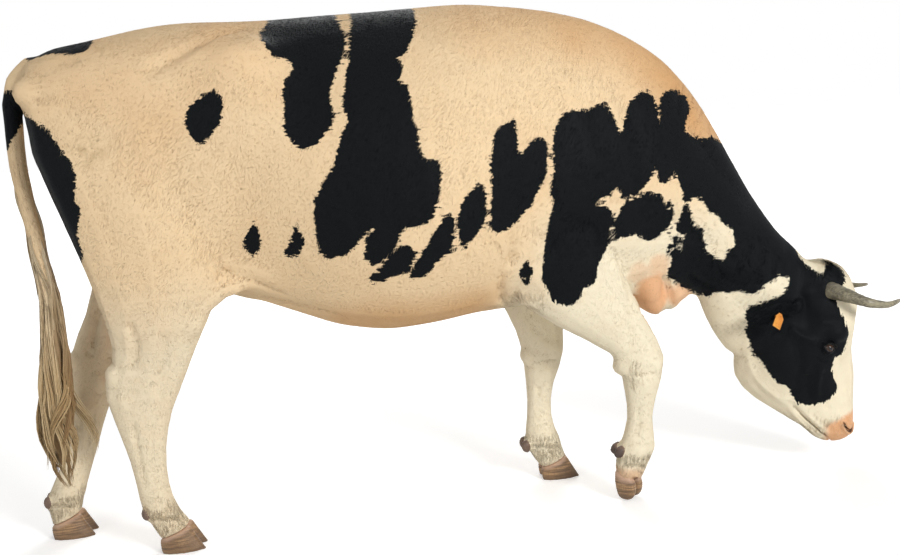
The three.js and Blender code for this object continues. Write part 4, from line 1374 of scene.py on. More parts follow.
class COW_OT_eyes(bpy.types.Operator):
    """Makes the eyeballs with their corneas, and the damp rims of the lids"""

    bl_idname = "cow.eyes"
    bl_label = "Eyes"

    def execute(self, context):
        make_eyes()
        return {"FINISHED"}


# ---- horns ----
def horn_line(side):
    lift, reach = (0.014, 0.84) if side == LEFT else (0.0, 1.0)
    path = [(0.104, 0.056, 0.557), (0.13, 0.092, 0.552), (0.166, 0.129, 0.54), (0.215, 0.152, 0.522),
            (0.272, 0.138, 0.51), (0.318, 0.107, 0.515)]
    return smooth_line([(0.13 + (x - 0.13) * reach, y * side, z + lift) for x, y, z in path], 18)


def horn_material():
    c = colours()
    material, n, shader = new_material("horn_keratin")
    along = n.attribute("along")
    place = n.place()
    grain = n.noise(n.mapped(place, scale=(0.16, 1, 1)), 260.0, 4.0)
    cloud = n.noise(n.mapped(place, scale=(0.4, 1, 1)), 60.0)
    base = n.mix(n.span(along, 0.0, 0.75), c.horn_dark, c.horn_pale)
    base = n.mix(n.span(grain, 0.42, 0.62), c.horn_dark, base)
    base = n.mix(n.times(n.span(cloud, 0.45, 0.7), 0.7), base, c.horn_pale)
    base = n.mix(n.span(n.attribute("ring"), 0.2, 1.0, 0.0, 0.3), base, c.horn_dark)
    base = n.mix(n.span(along, 0.86, 1.0), base, (0.3, 0.27, 0.22))
    n.finish(shader, base, n.span(grain, 0.3, 0.7, 0.34, 0.6), grain, strength=0.35, depth=0.0008)
    return material


def make_horns():
    material = horn_material()
    sides = 40
    for name, side in SIDES.items():
        line = from_head(horn_line(side))
        t = np.linspace(0, 1, len(line))
        rings_at = np.array([0.24, 0.29, 0.335, 0.375, 0.42, 0.46, 0.5, 0.53, 0.56])[: sizes().horn_rings]
        ring = np.exp(-(((t[:, None] - rings_at) / 0.008) ** 2)).max(1)
        radius = 0.031 * (1 - 0.86 * t**0.9) - 0.0005 * ring + 0.0004 * np.sin(t * 90) * (t < 0.6)
        end = line[-1] + unit(line[-1] - line[-2]) * radius[-1] * np.array([[0.35], [0.6]])
        line = np.vstack([line, end])
        radius = np.append(radius, [radius[-1] * 0.75, radius[-1] * 0.2])
        bm = bmesh.new()
        tube(bm, line, radius, sides=sides)
        horn = object_of(bm, f"horn_sheath_{name}")
        points = read_vectors(horn.data.vertices, "co")
        wobble = wander(points, 0.018, 51 + side)
        points += read_vectors(horn.data.vertex_normals, "vector") * (wobble * 0.0006)[:, None]
        write_points(horn.data, points)
        write_float(horn.data, "along", np.repeat(np.append(t, [1, 1]), sides))
        write_float(horn.data, "ring", np.repeat(np.append(ring, [0, 0]), sides))
        finish_piece(horn, material, [f"horn_{name}"])


class COW_OT_horns(bpy.types.Operator):
    """Makes the ringed horns"""

    bl_idname = "cow.horns"
    bl_label = "Horns"

    def execute(self, context):
        make_horns()
        return {"FINISHED"}


# ---- hooves ----
def hoof_material():
    c = colours()
    material, n, shader = new_material("hoof_wall")
    place = n.place()
    below = n.attribute("below_hair")
    rings = n.noise(n.mapped(place, scale=(0.25, 0.25, 3.2)), 60.0)
    fibre = n.noise(n.mapped(place, scale=(1, 1, 0.12)), 520.0)
    base = n.mix(n.span(rings, 0.38, 0.62), c.hoof_dark, c.hoof_pale)
    base = n.mix(n.times(n.span(fibre, 0.45, 0.7), 0.5), base, c.hoof_dark)
    base = n.mix(n.span(below, 0.34, 0.1, 0.0, 0.85), base, (0.55, 0.36, 0.25))
    base = n.mix(n.span(below, 0.55, 0.95, 0.0, 0.6), base, c.hoof_dark)
    base = n.mix(n.times(n.attribute("dewclaw"), n.span(below, 0.0, 0.08, 0.6, 0.95)), base,
                 (0.045, 0.026, 0.02))
    height = n.math("ADD", n.times(rings, 1.5), fibre)
    n.finish(shader, base, n.span(fibre, 0.3, 0.7, 0.42, 0.68), height, strength=0.5, depth=0.001)
    return material


def hanging_claw(place):
    """A claw of the lifted foot, toe down and turned a little outward; place is -1 or 1 across the cleft."""
    bm = bmesh.new()
    bmesh.ops.create_uvsphere(bm, u_segments=40, v_segments=28, radius=1.0)
    turn = Matrix.Rotation(HANGING_TURN, 3, "Z")
    for vert in bm.verts:
        front, across, up = (math.copysign(abs(v) ** 0.62, v) for v in vert.co)
        narrow = 1.0 - 0.16 * max(0.0, -up)
        local = Vector((front * 0.031 * narrow, across * 0.0175 * narrow + place * 0.02, up * 0.042))
        local.z -= 0.62 * local.x * max(0.0, min(1.0, 0.5 + up * 0.6))
        vert.co = Vector(HANGING_FOOT) + turn @ local
    return bm


HOOF_GRAIN = 0.0027
HANGING_FOOT, HANGING_TURN = (0.428, -0.142, 0.0455), math.radians(-42)


def in_dewclaw(points, leg):
    inside = np.zeros(len(points))
    for claw in CLAW_SIDES:
        low, high = (np.array(corner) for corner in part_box(f"dewclaw_{leg}_{claw}"))
        inside = np.maximum(inside, np.all((points > low - 0.002) & (points < high + 0.002), axis=1))
    return inside


def make_hooves(context):
    material = hoof_material()
    skin_tree = BVHTree.FromObject(bpy.data.objects["skin"], context.evaluated_depsgraph_get())
    for leg in LEGS:
        nodes = [f"{kind}_{leg}_{side}" for kind in ("claw", "dewclaw") for side in CLAW_SIDES]
        whole = bmesh.new()
        lifted = leg == "fore_right"
        for name in nodes:
            hanging = lifted and name.startswith("claw")
            add_to(whole, hanging_claw(-1 if name.endswith("outer") else 1) if hanging else merged_node(name))
        foot = object_of(whole, f"hooves_{leg}")
        voxel_remesh(foot, HOOF_GRAIN)
        clay = Clay(foot)
        solid = clay.body.copy()
        floor = ease(clay.body[:, 2], 0.0, 0.006)
        clay.even(16 if lifted else 52, np.full(len(clay.body), 0.5) * (0.25 + 0.75 * floor))
        clay.refresh()
        lost = smooth_scalar(foot.data, ((solid - clay.body) * clay.normal).sum(1), 40)
        clay.body += clay.normal * lost[:, None]
        side_wall = 1 - np.abs(clay.normal[:, 2])
        rings = np.sin(clay.body[:, 2] * 900 + 2.0 * wander(clay.body, 0.03, 61))
        clay.body += clay.normal * (0.0005 * rings * side_wall)[:, None]
        clay.body[:, 2] = np.maximum(clay.body[:, 2], 0.0)
        clay.refresh()
        height = np.array([skin_tree.find_nearest(Vector(point))[3] for point in clay.body])
        write_float(foot.data, "below_hair", np.clip(height / 0.05, 0, 1))
        write_float(foot.data, "dewclaw", in_dewclaw(clay.body, leg))
        finish_piece(foot, material, nodes)


class COW_OT_hooves(bpy.types.Operator):
    """Makes each foot's two claws and two dewclaws"""

    bl_idname = "cow.hooves"
    bl_label = "Hooves"

    def execute(self, context):
        make_hooves(context)
        return {"FINISHED"}


# ---- ear tag ----
def tag_material():
    c = colours()
    material, n, shader = new_material("tag_plastic")
    place = n.place()
    grime = n.noise(place, 90.0, 4.0)
    fade = n.noise(place, 22.0, 2.0)
    base = n.mix(n.span(fade, 0.35, 0.7), c.tag, (0.78, 0.34, 0.045))
    base = n.mix(n.span(grime, 0.58, 0.74, 0.0, 0.6), base, (0.28, 0.13, 0.03))
    base = n.mix(n.span(n.attribute("digit"), 0.4, 0.6), base, (0.02, 0.015, 0.012))
    n.finish(shader, base, n.span(grime, 0.3, 0.7, 0.35, 0.62), grime, strength=0.25, depth=0.0005)
    return material


TAG_YAW, TAG_LEAN, TAG_DROP = math.radians(-5), math.radians(-33), 0.003


def tag_frame():
    """The tag's middle and its axes across, up and out, in the body's axes: it hangs slanting from the ear."""
    along = unit(turn_from_head(np.array([[1.0, 0.62, 0.0]])))[0]
    out = unit(turn_from_head(np.array([[0.62, -1.0, 0.0]])))[0]
    low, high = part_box("ear_tag")
    middle = np.array((low + high) / 2) - [0, 0, TAG_DROP] + out * 0.004
    across = along * math.cos(TAG_YAW) + out * math.sin(TAG_YAW)
    facing = out * math.cos(TAG_YAW) - along * math.sin(TAG_YAW)
    upward = np.array([0, 0, 1.0]) * math.cos(TAG_LEAN) - across * math.sin(TAG_LEAN)
    across = across * math.cos(TAG_LEAN) + np.array([0, 0, 1.0]) * math.sin(TAG_LEAN)
    return middle, across, upward, facing


def make_ear_tag():
    middle, along, up, out = tag_frame()
    half_wide, half_high, shoulder = 0.0175, 0.0225, 0.0105
    outline = [(-0.006, half_high), (0.006, half_high), (half_wide, shoulder), (half_wide, -half_high),
               (-half_wide, -half_high), (-half_wide, shoulder)]
    bm = bmesh.new()
    corners = [bm.verts.new((x, z, 0)) for x, z in outline]
    plate = bm.faces.new(corners)
    grown = bmesh.ops.extrude_face_region(bm, geom=[plate])
    front = [v for v in grown["geom"] if isinstance(v, bmesh.types.BMVert)]
    bmesh.ops.translate(bm, verts=front, vec=(0, 0, 0.0019))
    bmesh.ops.bevel(bm, geom=list(bm.edges), offset=0.0006, segments=3, affect="EDGES", profile=0.5,
                    material=-1)
    for depth, radius, height in ((0.0032, 0.0078, 0.0032), (-0.0065, 0.0036, 0.014)):
        made = bmesh.ops.create_cone(bm, cap_ends=True, segments=36, depth=height,
                                     radius1=radius, radius2=radius * 0.82)
        bmesh.ops.translate(bm, verts=made["verts"], vec=(0, 0.0125, depth))
    ring = bmesh.ops.create_uvsphere(bm, u_segments=18, v_segments=10, radius=0.0024)
    bmesh.ops.translate(bm, verts=ring["verts"], vec=(0, 0.0125, 0.0046))
    plain = len(bm.verts)
    strokes = [(-0.0115, 0, 0.0011, 0.0075)] + [(-0.002, z, 0.0036, 0.0011) for z in (-0.0064, 0, 0.0064)]
    strokes += [(0.0005, 0.0032, 0.0011, 0.0032), (-0.0045, -0.0032, 0.0011, 0.0032)]
    strokes += [(0.0085, z, 0.0036, 0.0011) for z in (-0.0064, 0.0064)]
    strokes += [(0.0055, 0, 0.0011, 0.0075), (0.0115, 0, 0.0011, 0.0075)]
    for x, z, wide, high in strokes:
        size = Matrix.Diagonal((wide * 2, high * 2, 0.0006, 1))
        bmesh.ops.create_cube(bm, size=1, matrix=Matrix.Translation((x, z - 0.009, 0.0021)) @ size)
    bmesh.ops.recalc_face_normals(bm, faces=bm.faces)
    bmesh.ops.triangulate(bm, faces=bm.faces)
    tag = object_of(bm, "ear_tag_plate")
    local = read_vectors(tag.data.vertices, "co")
    local[:, 2] += 0.0022 * (local[:, 0] / half_wide) ** 2 - 0.001
    place = middle + local[:, :1] * along + local[:, 1:2] * up + local[:, 2:] * out
    write_points(tag.data, place)
    if np.linalg.det(np.column_stack([along, up, out])) < 0:
        tag.data.flip_normals()
    write_float(tag.data, "digit", np.arange(len(place)) >= plain)
    finish_piece(tag, tag_material(), ["ear_tag"], smooth=False)


class COW_OT_ear_tag(bpy.types.Operator):
    """Makes the bevelled ear tag and its button"""

    bl_idname = "cow.ear_tag"
    bl_label = "Ear tag"

    def execute(self, context):
        make_ear_tag()
        return {"FINISHED"}


# ---- tail switch ----
# The hair's middle line below the tail's own end, and how far it spreads at each of the line's points.
SWITCH_LINE = [(-1.192, -0.019, 0.6), (-1.198, -0.02, 0.5), (-1.205, -0.02, 0.42), (-1.212, -0.02, 0.33),
               (-1.211, -0.02, 0.25), (-1.2, -0.02, 0.185)]
FLYING_CLUMPS, LOOPED_CLUMP, BENT_CLUMP = (20, 29), 25, 33
TAIL_HEIGHTS = (1.12, 1.04, 0.96, 0.88, 0.8, 0.72)
SWITCH_SPREAD = [0.017, 0.02, 0.022, 0.024, 0.027, 0.031, 0.037, 0.043, 0.047, 0.043, 0.03, 0.012]


def switch_material():
    c = colours()
    material, n, shader = new_material("switch_locks", specular=0.3)
    tone = n.attribute("tone")
    along = n.attribute("along")
    strand = n.noise(n.mapped(n.place(), scale=(1, 1, 0.08)), 900.0)
    # Low tones give dark brown locks; on the core this dark is painted shade between the locks.
    base = n.mix(tone, (0.27, 0.165, 0.075), c.switch)
    base = n.mix(n.span(tone, 0.55, 1.0, 0.0, 0.7), base, (0.7, 0.55, 0.33))
    base = n.mix(n.span(along, 0.3, 0.62), n.mix(tone, (0.5, 0.39, 0.24), (0.72, 0.6, 0.42)), base)
    base = n.mix(n.span(strand, 0.42, 0.66, 0.0, 0.3), base, (0.17, 0.09, 0.036))
    n.finish(shader, base, n.span(strand, 0.3, 0.7, 0.45, 0.7), strand, strength=0.5, depth=0.0008)
    return material


def make_switch():
    rng = np.random.default_rng(17)
    body = read_vectors(bpy.data.objects["skin"].data.vertices, "co")
    tail = body[(body[:, 0] < -1.165) & (np.abs(body[:, 1]) < 0.06)]
    upper = [tail[np.abs(tail[:, 2] - z) < 0.012].mean(0) for z in TAIL_HEIGHTS]
    spine = smooth_line(upper + list(SWITCH_LINE), 10)
    knots = len(SWITCH_SPREAD)
    spread_at = np.interp(np.linspace(0, knots - 1, len(spine)), np.arange(knots), SWITCH_SPREAD)
    steps, sides = 14, 3
    clumps, high_clumps = 44, 18
    bm = bmesh.new()
    along, tones = [], []

    def add_lock(at, offset, thick, tone, sides=sides):
        index = at * (len(spine) - 1)
        middle = np.column_stack([np.interp(index, np.arange(len(spine)), spine[:, k]) for k in range(3)])
        tube(bm, middle + offset, thick, sides=sides)
        along.append(np.repeat(at, sides))
        tones.append(np.full(len(at) * sides, np.clip(tone, 0, 1)))

    # A thick core along the switch with a low tone: painted shade where it shows between the locks.
    at = np.linspace(0.4, 0.9, 24)
    shade_core = np.interp(at, np.linspace(0, 1, len(spine)), spread_at)
    shade_core = shade_core * 0.62 * np.sin(np.clip((at - 0.395) * 6.2, 0.02, 3.1)) ** 0.5
    add_lock(at, np.zeros((24, 3)), shade_core, 0.15, sides=18)
    for lock in range(sizes().switch_locks):
        clump = lock % clumps
        own = np.random.default_rng(900 + clump)
        high = clump < high_clumps
        angle = 2 * math.pi * (clump * 0.382 % 1.0) + own.uniform(-0.2, 0.2)
        depth = 0.55 + 0.5 * own.uniform() ** 0.6
        turns, phase, wave = own.uniform(2.0, 3.6), own.uniform(0, 2 * math.pi), own.uniform(0.004, 0.011)
        start = own.uniform(0.0, 0.3) if high else own.uniform(0.28, 0.62)
        end = start + own.uniform(0.28, 0.42) if high else own.uniform(0.8, 1.0)
        tone = own.uniform(0.15, 0.95)
        start = max(0.0, start + rng.uniform(-0.03, 0.05))
        end = min(1.0, end + rng.uniform(-0.07, 0.03))
        t = np.linspace(0, 1, steps)
        at = start + (end - start) * t
        spread = np.interp(at, np.linspace(0, 1, len(spine)), spread_at)
        spread *= 0.45 + (depth - 0.45) * ease(t, 0.0, 0.25)
        swing = angle + 0.5 * np.sin(turns * 1.3 * t + phase)
        curl = ease(at, 0.45, 0.8)
        ripple = 2 * math.pi * turns * at * 1.6 + phase
        offset = np.column_stack([
            np.cos(swing) * spread + np.sin(ripple) * wave * curl,
            np.sin(swing) * spread * 0.85 + np.cos(ripple) * wave * 0.8 * curl, np.zeros(steps)])
        loose = 0.005 + 0.004 * curl
        offset += (rng.uniform(-1, 1, 3) * [1, 1, 0.4])[None, :] * loose[:, None] * (1 - 0.6 * t)[:, None]
        if clump in FLYING_CLUMPS:
            offset += np.outer(ease(t, 0.4, 1.0), [0.062, 0.0, -0.035])
        if clump == LOOPED_CLUMP:
            offset += np.outer(np.sin(np.clip(t * 1.25, 0, 1) * math.pi), [0.03, 0.0, 0.0])
        if clump == BENT_CLUMP:
            offset += np.outer(ease(t, 0.6, 1.0), [-0.02, 0.0, 0.0])
        thick = rng.uniform(0.0016, 0.0032)
        add_lock(at, offset, thick * np.clip(np.minimum(0.35 + 3 * t, 1.0) * (1.02 - t**2.6), 0.07, None),
                 tone + rng.normal(0, 0.16))
    switch = object_of(bm, "switch_locks")
    write_float(switch.data, "along", np.concatenate(along))
    write_float(switch.data, "tone", np.concatenate(tones))
    finish_piece(switch, switch_material(), ["tail_switch"])


class COW_OT_switch(bpy.types.Operator):
    """Makes the wavy locks of the tail's switch"""

    bl_idname = "cow.switch"
    bl_label = "Tail switch"

    def execute(self, context):
        make_switch()
        return {"FINISHED"}


# ---- coat ----
def hair_way(points):
    """The way the hair points: back along the trunk and neck, down the legs, down the face from the brow."""
    x, y, z = points.T
    slope = 1.5 + 0.3 * ease(z, 1.05, 0.72)
    way = np.column_stack([-np.ones(len(points)), np.zeros(len(points)), -slope])
    neck = ease(x, 0.5, 0.75)[:, None]
    way = way * (1 - neck) + np.array([-0.75, 0.0, -0.75]) * neck
    way[:, 1] += np.sign(y) * 0.25 * ease(z, 1.3, 1.42)
    tail = (ease(x, -1.165, -1.18) * ease(np.abs(y), 0.07, 0.05))[:, None]
    way = way * (1 - tail) + np.array([0.0, 0.0, -1.0]) * tail
    down = down_at(points)[:, None]
    way = way * (1 - down) + np.array([-0.15, 0.0, -1.0]) * down
    head = to_head(points)
    face = ease(head[:, 0] * 0.78 - (head[:, 2] - 0.48) * 0.62, -0.02, 0.05)[:, None]
    ones = np.ones(len(points))
    on_face = np.column_stack([-0.35 * ones, np.sign(y) * 0.35, np.where(head[:, 2] > 0.5, 0.9, -0.9)])
    way = way * (1 - face) + on_face * face
    ear = on_ear(head) > 0.5
    toward_tip = turn_from_head(np.column_stack([-ones, 0.62 * np.sign(y), -0.25 * ones]))
    way[ear] = toward_tip[ear]
    swirl = 0.3 * wander(points, 0.09, 71)
    turned = np.column_stack([way[:, 0] + swirl * way[:, 2], way[:, 1], way[:, 2] - swirl * way[:, 0]])
    return unit(turned)


def sample_skin(skin, weight, count, seed):
    """Roots spread over the skin by weight(points), with the skin's normals and markings there."""
    mesh = skin.data
    mesh.calc_loop_triangles()
    corners = np.empty(len(mesh.loop_triangles) * 3, np.int32)
    mesh.loop_triangles.foreach_get("vertices", corners)
    corners = corners.reshape(-1, 3)
    points = read_vectors(mesh.vertices, "co")
    normals = read_vectors(mesh.vertex_normals, "vector")
    a, b, c = (points[corners[:, k]] for k in range(3))
    area = np.linalg.norm(np.cross(b - a, c - a), axis=1) / 2
    chance = np.cumsum(area * weight((a + b + c) / 3))
    rng = np.random.default_rng(seed)
    picked = np.searchsorted(chance, rng.uniform(0, chance[-1], count))
    u, v = rng.uniform(size=(2, count))
    flip = u + v > 1
    u[flip], v[flip] = 1 - u[flip], 1 - v[flip]
    share = np.column_stack([1 - u - v, u, v])
    chosen = corners[picked]
    place = (points[chosen] * share[..., None]).sum(1)
    normal = unit((normals[chosen] * share[..., None]).sum(1))
    values = {}
    for name in MARKINGS:
        layer = np.empty(len(points), np.float32)
        mesh.attributes[name].data.foreach_get("value", layer)
        values[name] = (layer[chosen] * share).sum(1)
    return place, normal, values, rng


def unwrap_trunk(points):
    x, y, z = points.T
    turn = np.arctan2(z - 1.0, y) / (2 * math.pi) + 0.5
    return np.column_stack([(x + 1.25) / 2.6, turn])


def unwrap_upright(points, centre_x, centre_y, low, high):
    turn = np.arctan2(points[:, 1] - centre_y, points[:, 0] - centre_x) / (2 * math.pi) + 0.5
    return np.column_stack([turn, (points[:, 2] - low) / (high - low)])


def laid_down(tree, points):
    """The place on the skin that is nearest to each point."""
    return np.array([tree.find_nearest(point)[0] for point in points.tolist()])


def grow_coat(name, skin, tree, weight, count, seed, length, width, lift, unwrap):
    """One coat piece: thin closed tufts that lie along the body, their tips laid down on the skin."""
    place, normal, values, rng = sample_skin(skin, weight, count, seed)
    border = np.abs(values["black"]) < 0.035
    values["black"][border] = black_at(place[border])
    way = hair_way(place)
    way += rng.normal(0, 0.06, way.shape)
    way = unit(way - normal * (way * normal).sum(1)[:, None])
    across = np.cross(normal, way)
    long = length(place) * rng.uniform(0.7, 1.25, count)
    wide = width(place) * rng.uniform(0.7, 1.25, count)
    rise = lift(place) * rng.uniform(0.5, 1.5, count)
    root = place - normal * 0.0001 - way * (long * 0.15)[:, None]
    left = root - across * (wide / 2)[:, None]
    right = root + across * (wide / 2)[:, None]
    top = root + normal * (0.0001 + wide * 0.06)[:, None]
    tip = laid_down(tree, root + way * long[:, None]) + normal * (long * rise)[:, None]
    points = np.stack([left, right, top, tip], axis=1).reshape(-1, 3)
    base = np.arange(count)[:, None] * 4
    faces = (base + np.array([[0, 1, 2, 1, 3, 2, 3, 0, 2, 1, 0, 3]])).reshape(-1)
    mesh = mesh_from_arrays(name, points, faces, 3)
    values["tone"] = np.clip(0.5 + rng.normal(0, 0.22, count), 0, 1)
    for key, value in values.items():
        write_float(mesh, key, np.repeat(value, 4))
    spot = np.clip(unwrap(place), 0.002, 0.995)
    patch = np.array([[0, 0], [0.003, 0], [0.0015, 0.0015], [0.0015, 0.003]])
    per_point = (spot[:, None, :] + patch).reshape(-1, 2)
    layer = mesh.uv_layers.new(name="OFBake")
    layer.data.foreach_set("uv", per_point[faces].astype(np.float32).ravel())
    material = coat_material("tuft_coat", raggedness=0.0, tone=True, fineness=700.0, bump=0.12)
    finish_piece(link(name, mesh), material, smooth=False)


def head_share(points):
    return ease(past_throat(points), -0.03, 0.01)


def hairy(points):
    return np.clip(1 - bare_at(points) * 1.15 - nostril_and_lip_shade_at(points), 0, 1)


def trunk_part(side, low, high):
    """The share of tufts on one side of the trunk, from low to high along the cow."""
    def weight(points):
        x, y, z = points.T
        here = (y * side > 0) & (x >= low) & (x < high) & (z > 0.55)
        return here * hairy(points) * (1 - down_at(points) * 0.9)
    return weight


def neck_part(points):
    return (points[:, 0] >= 0.5) * (1 - head_share(points)) * hairy(points) * (1 - down_at(points))


def head_part(points):
    return head_share(points) * hairy(points)


def leg_part(front):
    """The share of tufts on the fore or the hind legs."""
    def weight(points):
        x = points[:, 0]
        here = (x > -0.1) & (x < 0.68) if front else x < -0.5
        return here * down_at(points) * hairy(points)
    return weight


def shaggy_part(points):
    """Where the hair is long: poll, ears, fetlocks, chin, elbow, crest and the middle of the belly."""
    x, y, z = points.T
    face = to_head(points)
    poll = 3.0 * at_poll(points)
    ears = 1.6 * on_ear(face)
    fetlock = 1.6 * ease(z, 0.17, 0.13) * ease(z, 0.035, 0.06)
    chin = 0.8 * head_share(points) * ease(face[:, 2], 0.2, 0.12) * ease(face[:, 0], 0.08, 0.05)
    elbow = 0.8 * ease(oval(from_side(points), [0.14, 0.62], [0.08, 0.05]), 1.2, 0.4)
    knee = 0.8 * ease(oval(from_side(points), [0.455, 0.385], [0.02, 0.05]), 1.2, 0.4)
    crest = 0.35 * ease(np.abs(y), 0.035, 0.01) * ease(x, 0.1, 0.3) * ease(z, 0.66, 0.72)
    belly = 0.5 * ease(np.abs(y), 0.06, 0.02) * ease(z, 0.7, 0.66) * ease(x, -0.6, -0.5) * ease(x, 0.15, 0.0)
    return hairy(points) * np.max([poll, ears, fetlock, chin, elbow, knee, crest, belly], axis=0)


def unwrap_legs(points):
    side = points[:, 1] > 0
    centre = np.where(points[:, 0] < -0.3, np.where(side, -1.0, -0.88), np.where(side, 0.27, 0.45))
    turn = np.arctan2(np.abs(points[:, 1]) - 0.13, points[:, 0] - centre) / (2 * math.pi) + 0.5
    return np.column_stack([turn * 0.49 + 0.5 * side, points[:, 2] / 1.2])


def long_at(points):
    head = head_share(points)
    base = sizes().tuft_length * (1 - 0.45 * head - 0.35 * down_at(points))
    muzzle = head * ease(to_head(points)[:, 2], 0.25, 0.15)
    return base * (1 - 0.5 * muzzle) + at_poll(points) * 0.018


def wide_at(points):
    return sizes().tuft_width * (1 - 0.35 * head_share(points) - 0.2 * down_at(points))


def lift_at(points):
    ridge = ease(points[:, 2], 1.38, 1.44)
    return 0.007 + 0.05 * ridge + 0.3 * at_poll(points) + 0.01 * ease(points[:, 2], 0.16, 0.1)


def make_coat(context):
    skin = bpy.data.objects["skin"]
    tree = BVHTree.FromObject(skin, context.evaluated_depsgraph_get())
    full = sizes().tufts
    regions = []
    for label, side in SIDES.items():
        regions.append((f"coat_rump_{label}", trunk_part(side, -1.4, -0.35), full, unwrap_trunk))
        regions.append((f"coat_barrel_{label}", trunk_part(side, -0.35, 0.5), full, unwrap_trunk))
    regions += [("coat_neck", neck_part, int(full * 0.8), lambda p: unwrap_upright(p, 0.82, 0, 0.3, 1.5)),
                ("coat_head", head_part, full, lambda p: unwrap_upright(p, 1.02, 0, 0.0, 0.7)),
                ("coat_hind_legs", leg_part(False), full, unwrap_legs),
                ("coat_fore_legs", leg_part(True), int(full * 0.8), unwrap_legs)]
    for seed, (name, weight, count, unwrap) in enumerate(regions):
        grow_coat(name, skin, tree, weight, count, 100 + seed, long_at, wide_at, lift_at, unwrap)
    grow_coat("coat_shaggy", skin, tree, shaggy_part, int(full * 0.4), 130,
              lambda p: np.full(len(p), 0.021) * (1 + 0.3 * ease(p[:, 2], 0.55, 0.65)),
              lambda p: np.full(len(p), sizes().tuft_width * 0.75),
              lambda p: 0.07 + 0.31 * at_poll(p), unwrap_trunk)


class COW_OT_coat(bpy.types.Operator):
    """Grows the coat's tufts over the skin, one piece for each part of the body"""

    bl_idname = "cow.coat"
    bl_label = "Coat"

    def execute(self, context):
        make_coat(context)
        return {"FINISHED"}


# ---- whiskers and lashes ----
HAIRS = 34  # whiskers on each side of the muzzle, and lashes on each lid


def whisker_material():
    c = colours()
    material, n, shader = new_material("whisker_hair")
    shade = n.noise(n.place(), 60.0, 2.0)
    colour = n.mix(n.attribute("lash"), n.mix(shade, c.milk, c.gold), (0.012, 0.01, 0.009))
    n.finish(shader, colour, n.span(shade, 0.3, 0.7, 0.35, 0.5))
    return material


def make_whiskers(context):
    rng = np.random.default_rng(23)
    skin = bpy.data.objects["skin"]
    tree = BVHTree.FromObject(skin, context.evaluated_depsgraph_get())
    bm = bmesh.new()
    kind = []

    def hair(root, way, droop, length, thick, lash, steps=6, sides=3):
        t = np.linspace(0, 1, steps)[:, None]
        line = root + way * length * t + droop * length * t**2
        tube(bm, line, thick * (1.02 - t[:, 0] ** 1.5), sides=sides)
        kind.extend([lash] * steps * sides)

    for side in SIDES.values():
        for _ in range(HAIRS):
            x, z = rng.uniform(0.05, 0.19), rng.uniform(0.085, 0.17)
            root = from_head(np.array([x, side * 0.12, z]))[0]
            found, normal = tree.find_nearest(Vector(root))[:2]
            way = unit(np.array(normal) + rng.normal(0, 0.25, 3) + [0.1, 0, -0.35])
            hair(np.array(found) - np.array(normal) * 0.001, way, np.array([0, 0, -0.35]),
                 rng.uniform(0.014, 0.034), 0.0004, 0.0)
        out, forward, up = eye_axes(side)
        for a in np.linspace(-0.8, 0.86, HAIRS):
            a = a * LID_REACH + rng.normal(0, 0.0003)
            top = lid_edge(a)[0] + 0.0008
            c = math.sqrt((EYE_RADIUS + 0.003) ** 2 - a * a - top * top)
            root = from_head(EYE * [1, side, 1] + a * forward + top * up + c * out)[0]
            way = turn_from_head(unit(out * 0.95 + up * 0.12 + forward * a * 18 + rng.normal(0, 0.05, 3)))[0]
            hair(root, way, turn_from_head(up * 0.3 - out * 0.1)[0], rng.uniform(0.009, 0.015), 0.00045, 1.0)
    whiskers = object_of(bm, "whiskers")
    write_float(whiskers.data, "lash", kind)
    finish_piece(whiskers, whisker_material())


class COW_OT_whiskers(bpy.types.Operator):
    """Makes the whiskers of the muzzle and the lashes of the upper lids"""

    bl_idname = "cow.whiskers"
    bl_label = "Whiskers"

    def execute(self, context):
        make_whiskers(context)
        return {"FINISHED"}


# ---- stage ----
CAMERA_PLACE = (-0.3762, -3.4716, 1.2364)
CAMERA_HEADING, CAMERA_DIP, CAMERA_ROLL = (math.radians(a) for a in (5.56, 8.9, 4.75))
CAMERA_LENS = 47.72


def camera_axes():
    east, north = math.sin(CAMERA_HEADING), math.cos(CAMERA_HEADING)
    ahead = Vector((east * math.cos(CAMERA_DIP), north * math.cos(CAMERA_DIP), -math.sin(CAMERA_DIP)))
    level = Vector((north, -east, 0))
    upright = level.cross(ahead)
    c, s = math.cos(CAMERA_ROLL), math.sin(CAMERA_ROLL)
    return level * c - upright * s, upright * c + level * s, ahead


def studio_material(name, shade, glow):
    """Pale ground that shows white to the camera and still takes the shadow."""
    material, n, shader = new_material(name, specular=0.1)
    place = n.place()
    speck = n.noise(place, 1.5, 3.0)
    n.wire(n.mix(speck, (shade, shade, shade * 0.99), (shade * 0.985,) * 3), shader.inputs["Base Color"])
    shader.inputs["Roughness"].default_value = 0.9
    reach = n.add("ShaderNodeVectorMath", operation="LENGTH")
    n.wire(place, reach.inputs[0])
    far = n.span(reach.outputs["Value"], 2.0, 6.0, glow, 1.0)
    shader.inputs["Emission Color"].default_value = (1, 1, 1, 1)
    n.wire(n.times(n.seen(), far), shader.inputs["Emission Strength"])
    return material


def add_lamp(name, place, target, size, power):
    lamp = bpy.data.lights.new(name, "AREA")
    lamp.shape = "DISK"
    lamp.size = size
    lamp.energy = power
    holder = link(name, lamp)
    holder.location = place
    holder.rotation_euler = (Vector(target) - Vector(place)).to_track_quat("-Z", "Y").to_euler()


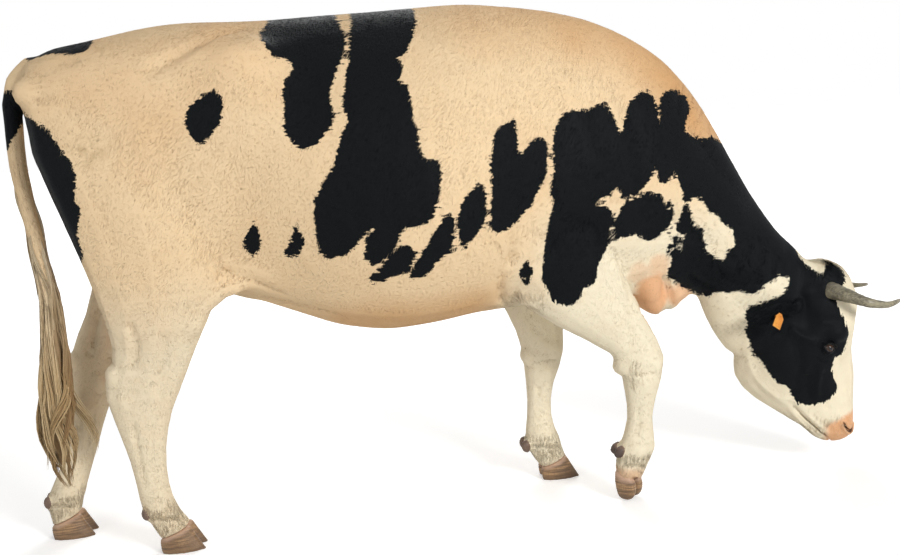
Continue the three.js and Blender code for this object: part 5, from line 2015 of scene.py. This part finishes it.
def make_stage(context):
    bm = bmesh.new()
    bmesh.ops.create_grid(bm, x_segments=8, y_segments=8, size=30)
    floor = object_of(bm, "studio_floor")
    floor.data.materials.append(studio_material("studio_ground", 0.8, 0.42))
    add_lamp("key_lamp", (2.9, -5.4, 3.1), (0, 0, 0.8), 1.6, 282)
    add_lamp("fill_lamp", (-4.5, -4.0, 2.2), (0, 0, 0.8), 3.0, 55)
    add_lamp("back_lamp", (0.5, 4.5, 3.6), (0, 0, 0.9), 3.0, 137)
    scene = context.scene
    world = bpy.data.worlds.new("studio_world")
    scene.world = world
    world.use_nodes = True
    n = Nodes(world.node_tree)
    sky = world.node_tree.nodes["Background"]
    sky.inputs["Color"].default_value = (1, 1, 1, 1)
    n.wire(n.blend(n.seen(), 0.35, 1.0), sky.inputs["Strength"])
    scene.view_settings.view_transform = "Standard"
    camera = bpy.data.cameras.new("camera")
    camera.lens = CAMERA_LENS
    camera.sensor_width = 36
    camera.clip_end = 200
    holder = link("camera", camera)
    right, upward, ahead = camera_axes()
    turn = Matrix((right, upward, -ahead)).transposed().to_4x4()
    holder.matrix_world = Matrix.Translation(Vector(CAMERA_PLACE)) @ turn
    scene.camera = holder


class COW_OT_stage(bpy.types.Operator):
    """Sets the floor, the lamps, the world and the camera"""

    bl_idname = "cow.stage"
    bl_label = "Stage"

    def execute(self, context):
        make_stage(context)
        return {"FINISHED"}


STEPS = ("stage", "skin", "eyes", "horns", "hooves", "ear_tag", "switch", "coat", "whiskers")


class COW_PT_panel(bpy.types.Panel):
    """The cow's sizes, colours and steps"""

    bl_label = "Grazing Cow"
    bl_idname = "COW_PT_panel"
    bl_space_type = "VIEW_3D"
    bl_region_type = "UI"
    bl_category = "Cow"

    def draw(self, context):
        column = self.layout.column()
        for step in STEPS:
            column.operator(f"cow.{step}")
        for group in (context.scene.cow_sizes, context.scene.cow_colours):
            for name in group.__annotations__:
                column.prop(group, name)


CLASSES = (CowSizes, CowColours, COW_OT_stage, COW_OT_skin, COW_OT_eyes, COW_OT_horns, COW_OT_hooves,
           COW_OT_ear_tag, COW_OT_switch, COW_OT_coat, COW_OT_whiskers, COW_PT_panel)


def register():
    for cls in CLASSES:
        bpy.utils.register_class(cls)
    bpy.types.Scene.cow_sizes = bpy.props.PointerProperty(type=CowSizes)
    bpy.types.Scene.cow_colours = bpy.props.PointerProperty(type=CowColours)


def unregister():
    del bpy.types.Scene.cow_sizes
    del bpy.types.Scene.cow_colours
    for cls in reversed(CLASSES):
        bpy.utils.unregister_class(cls)


def main():
    register()
    for step in STEPS:
        getattr(bpy.ops.cow, step)()


if __name__ == "__main__":
    main()
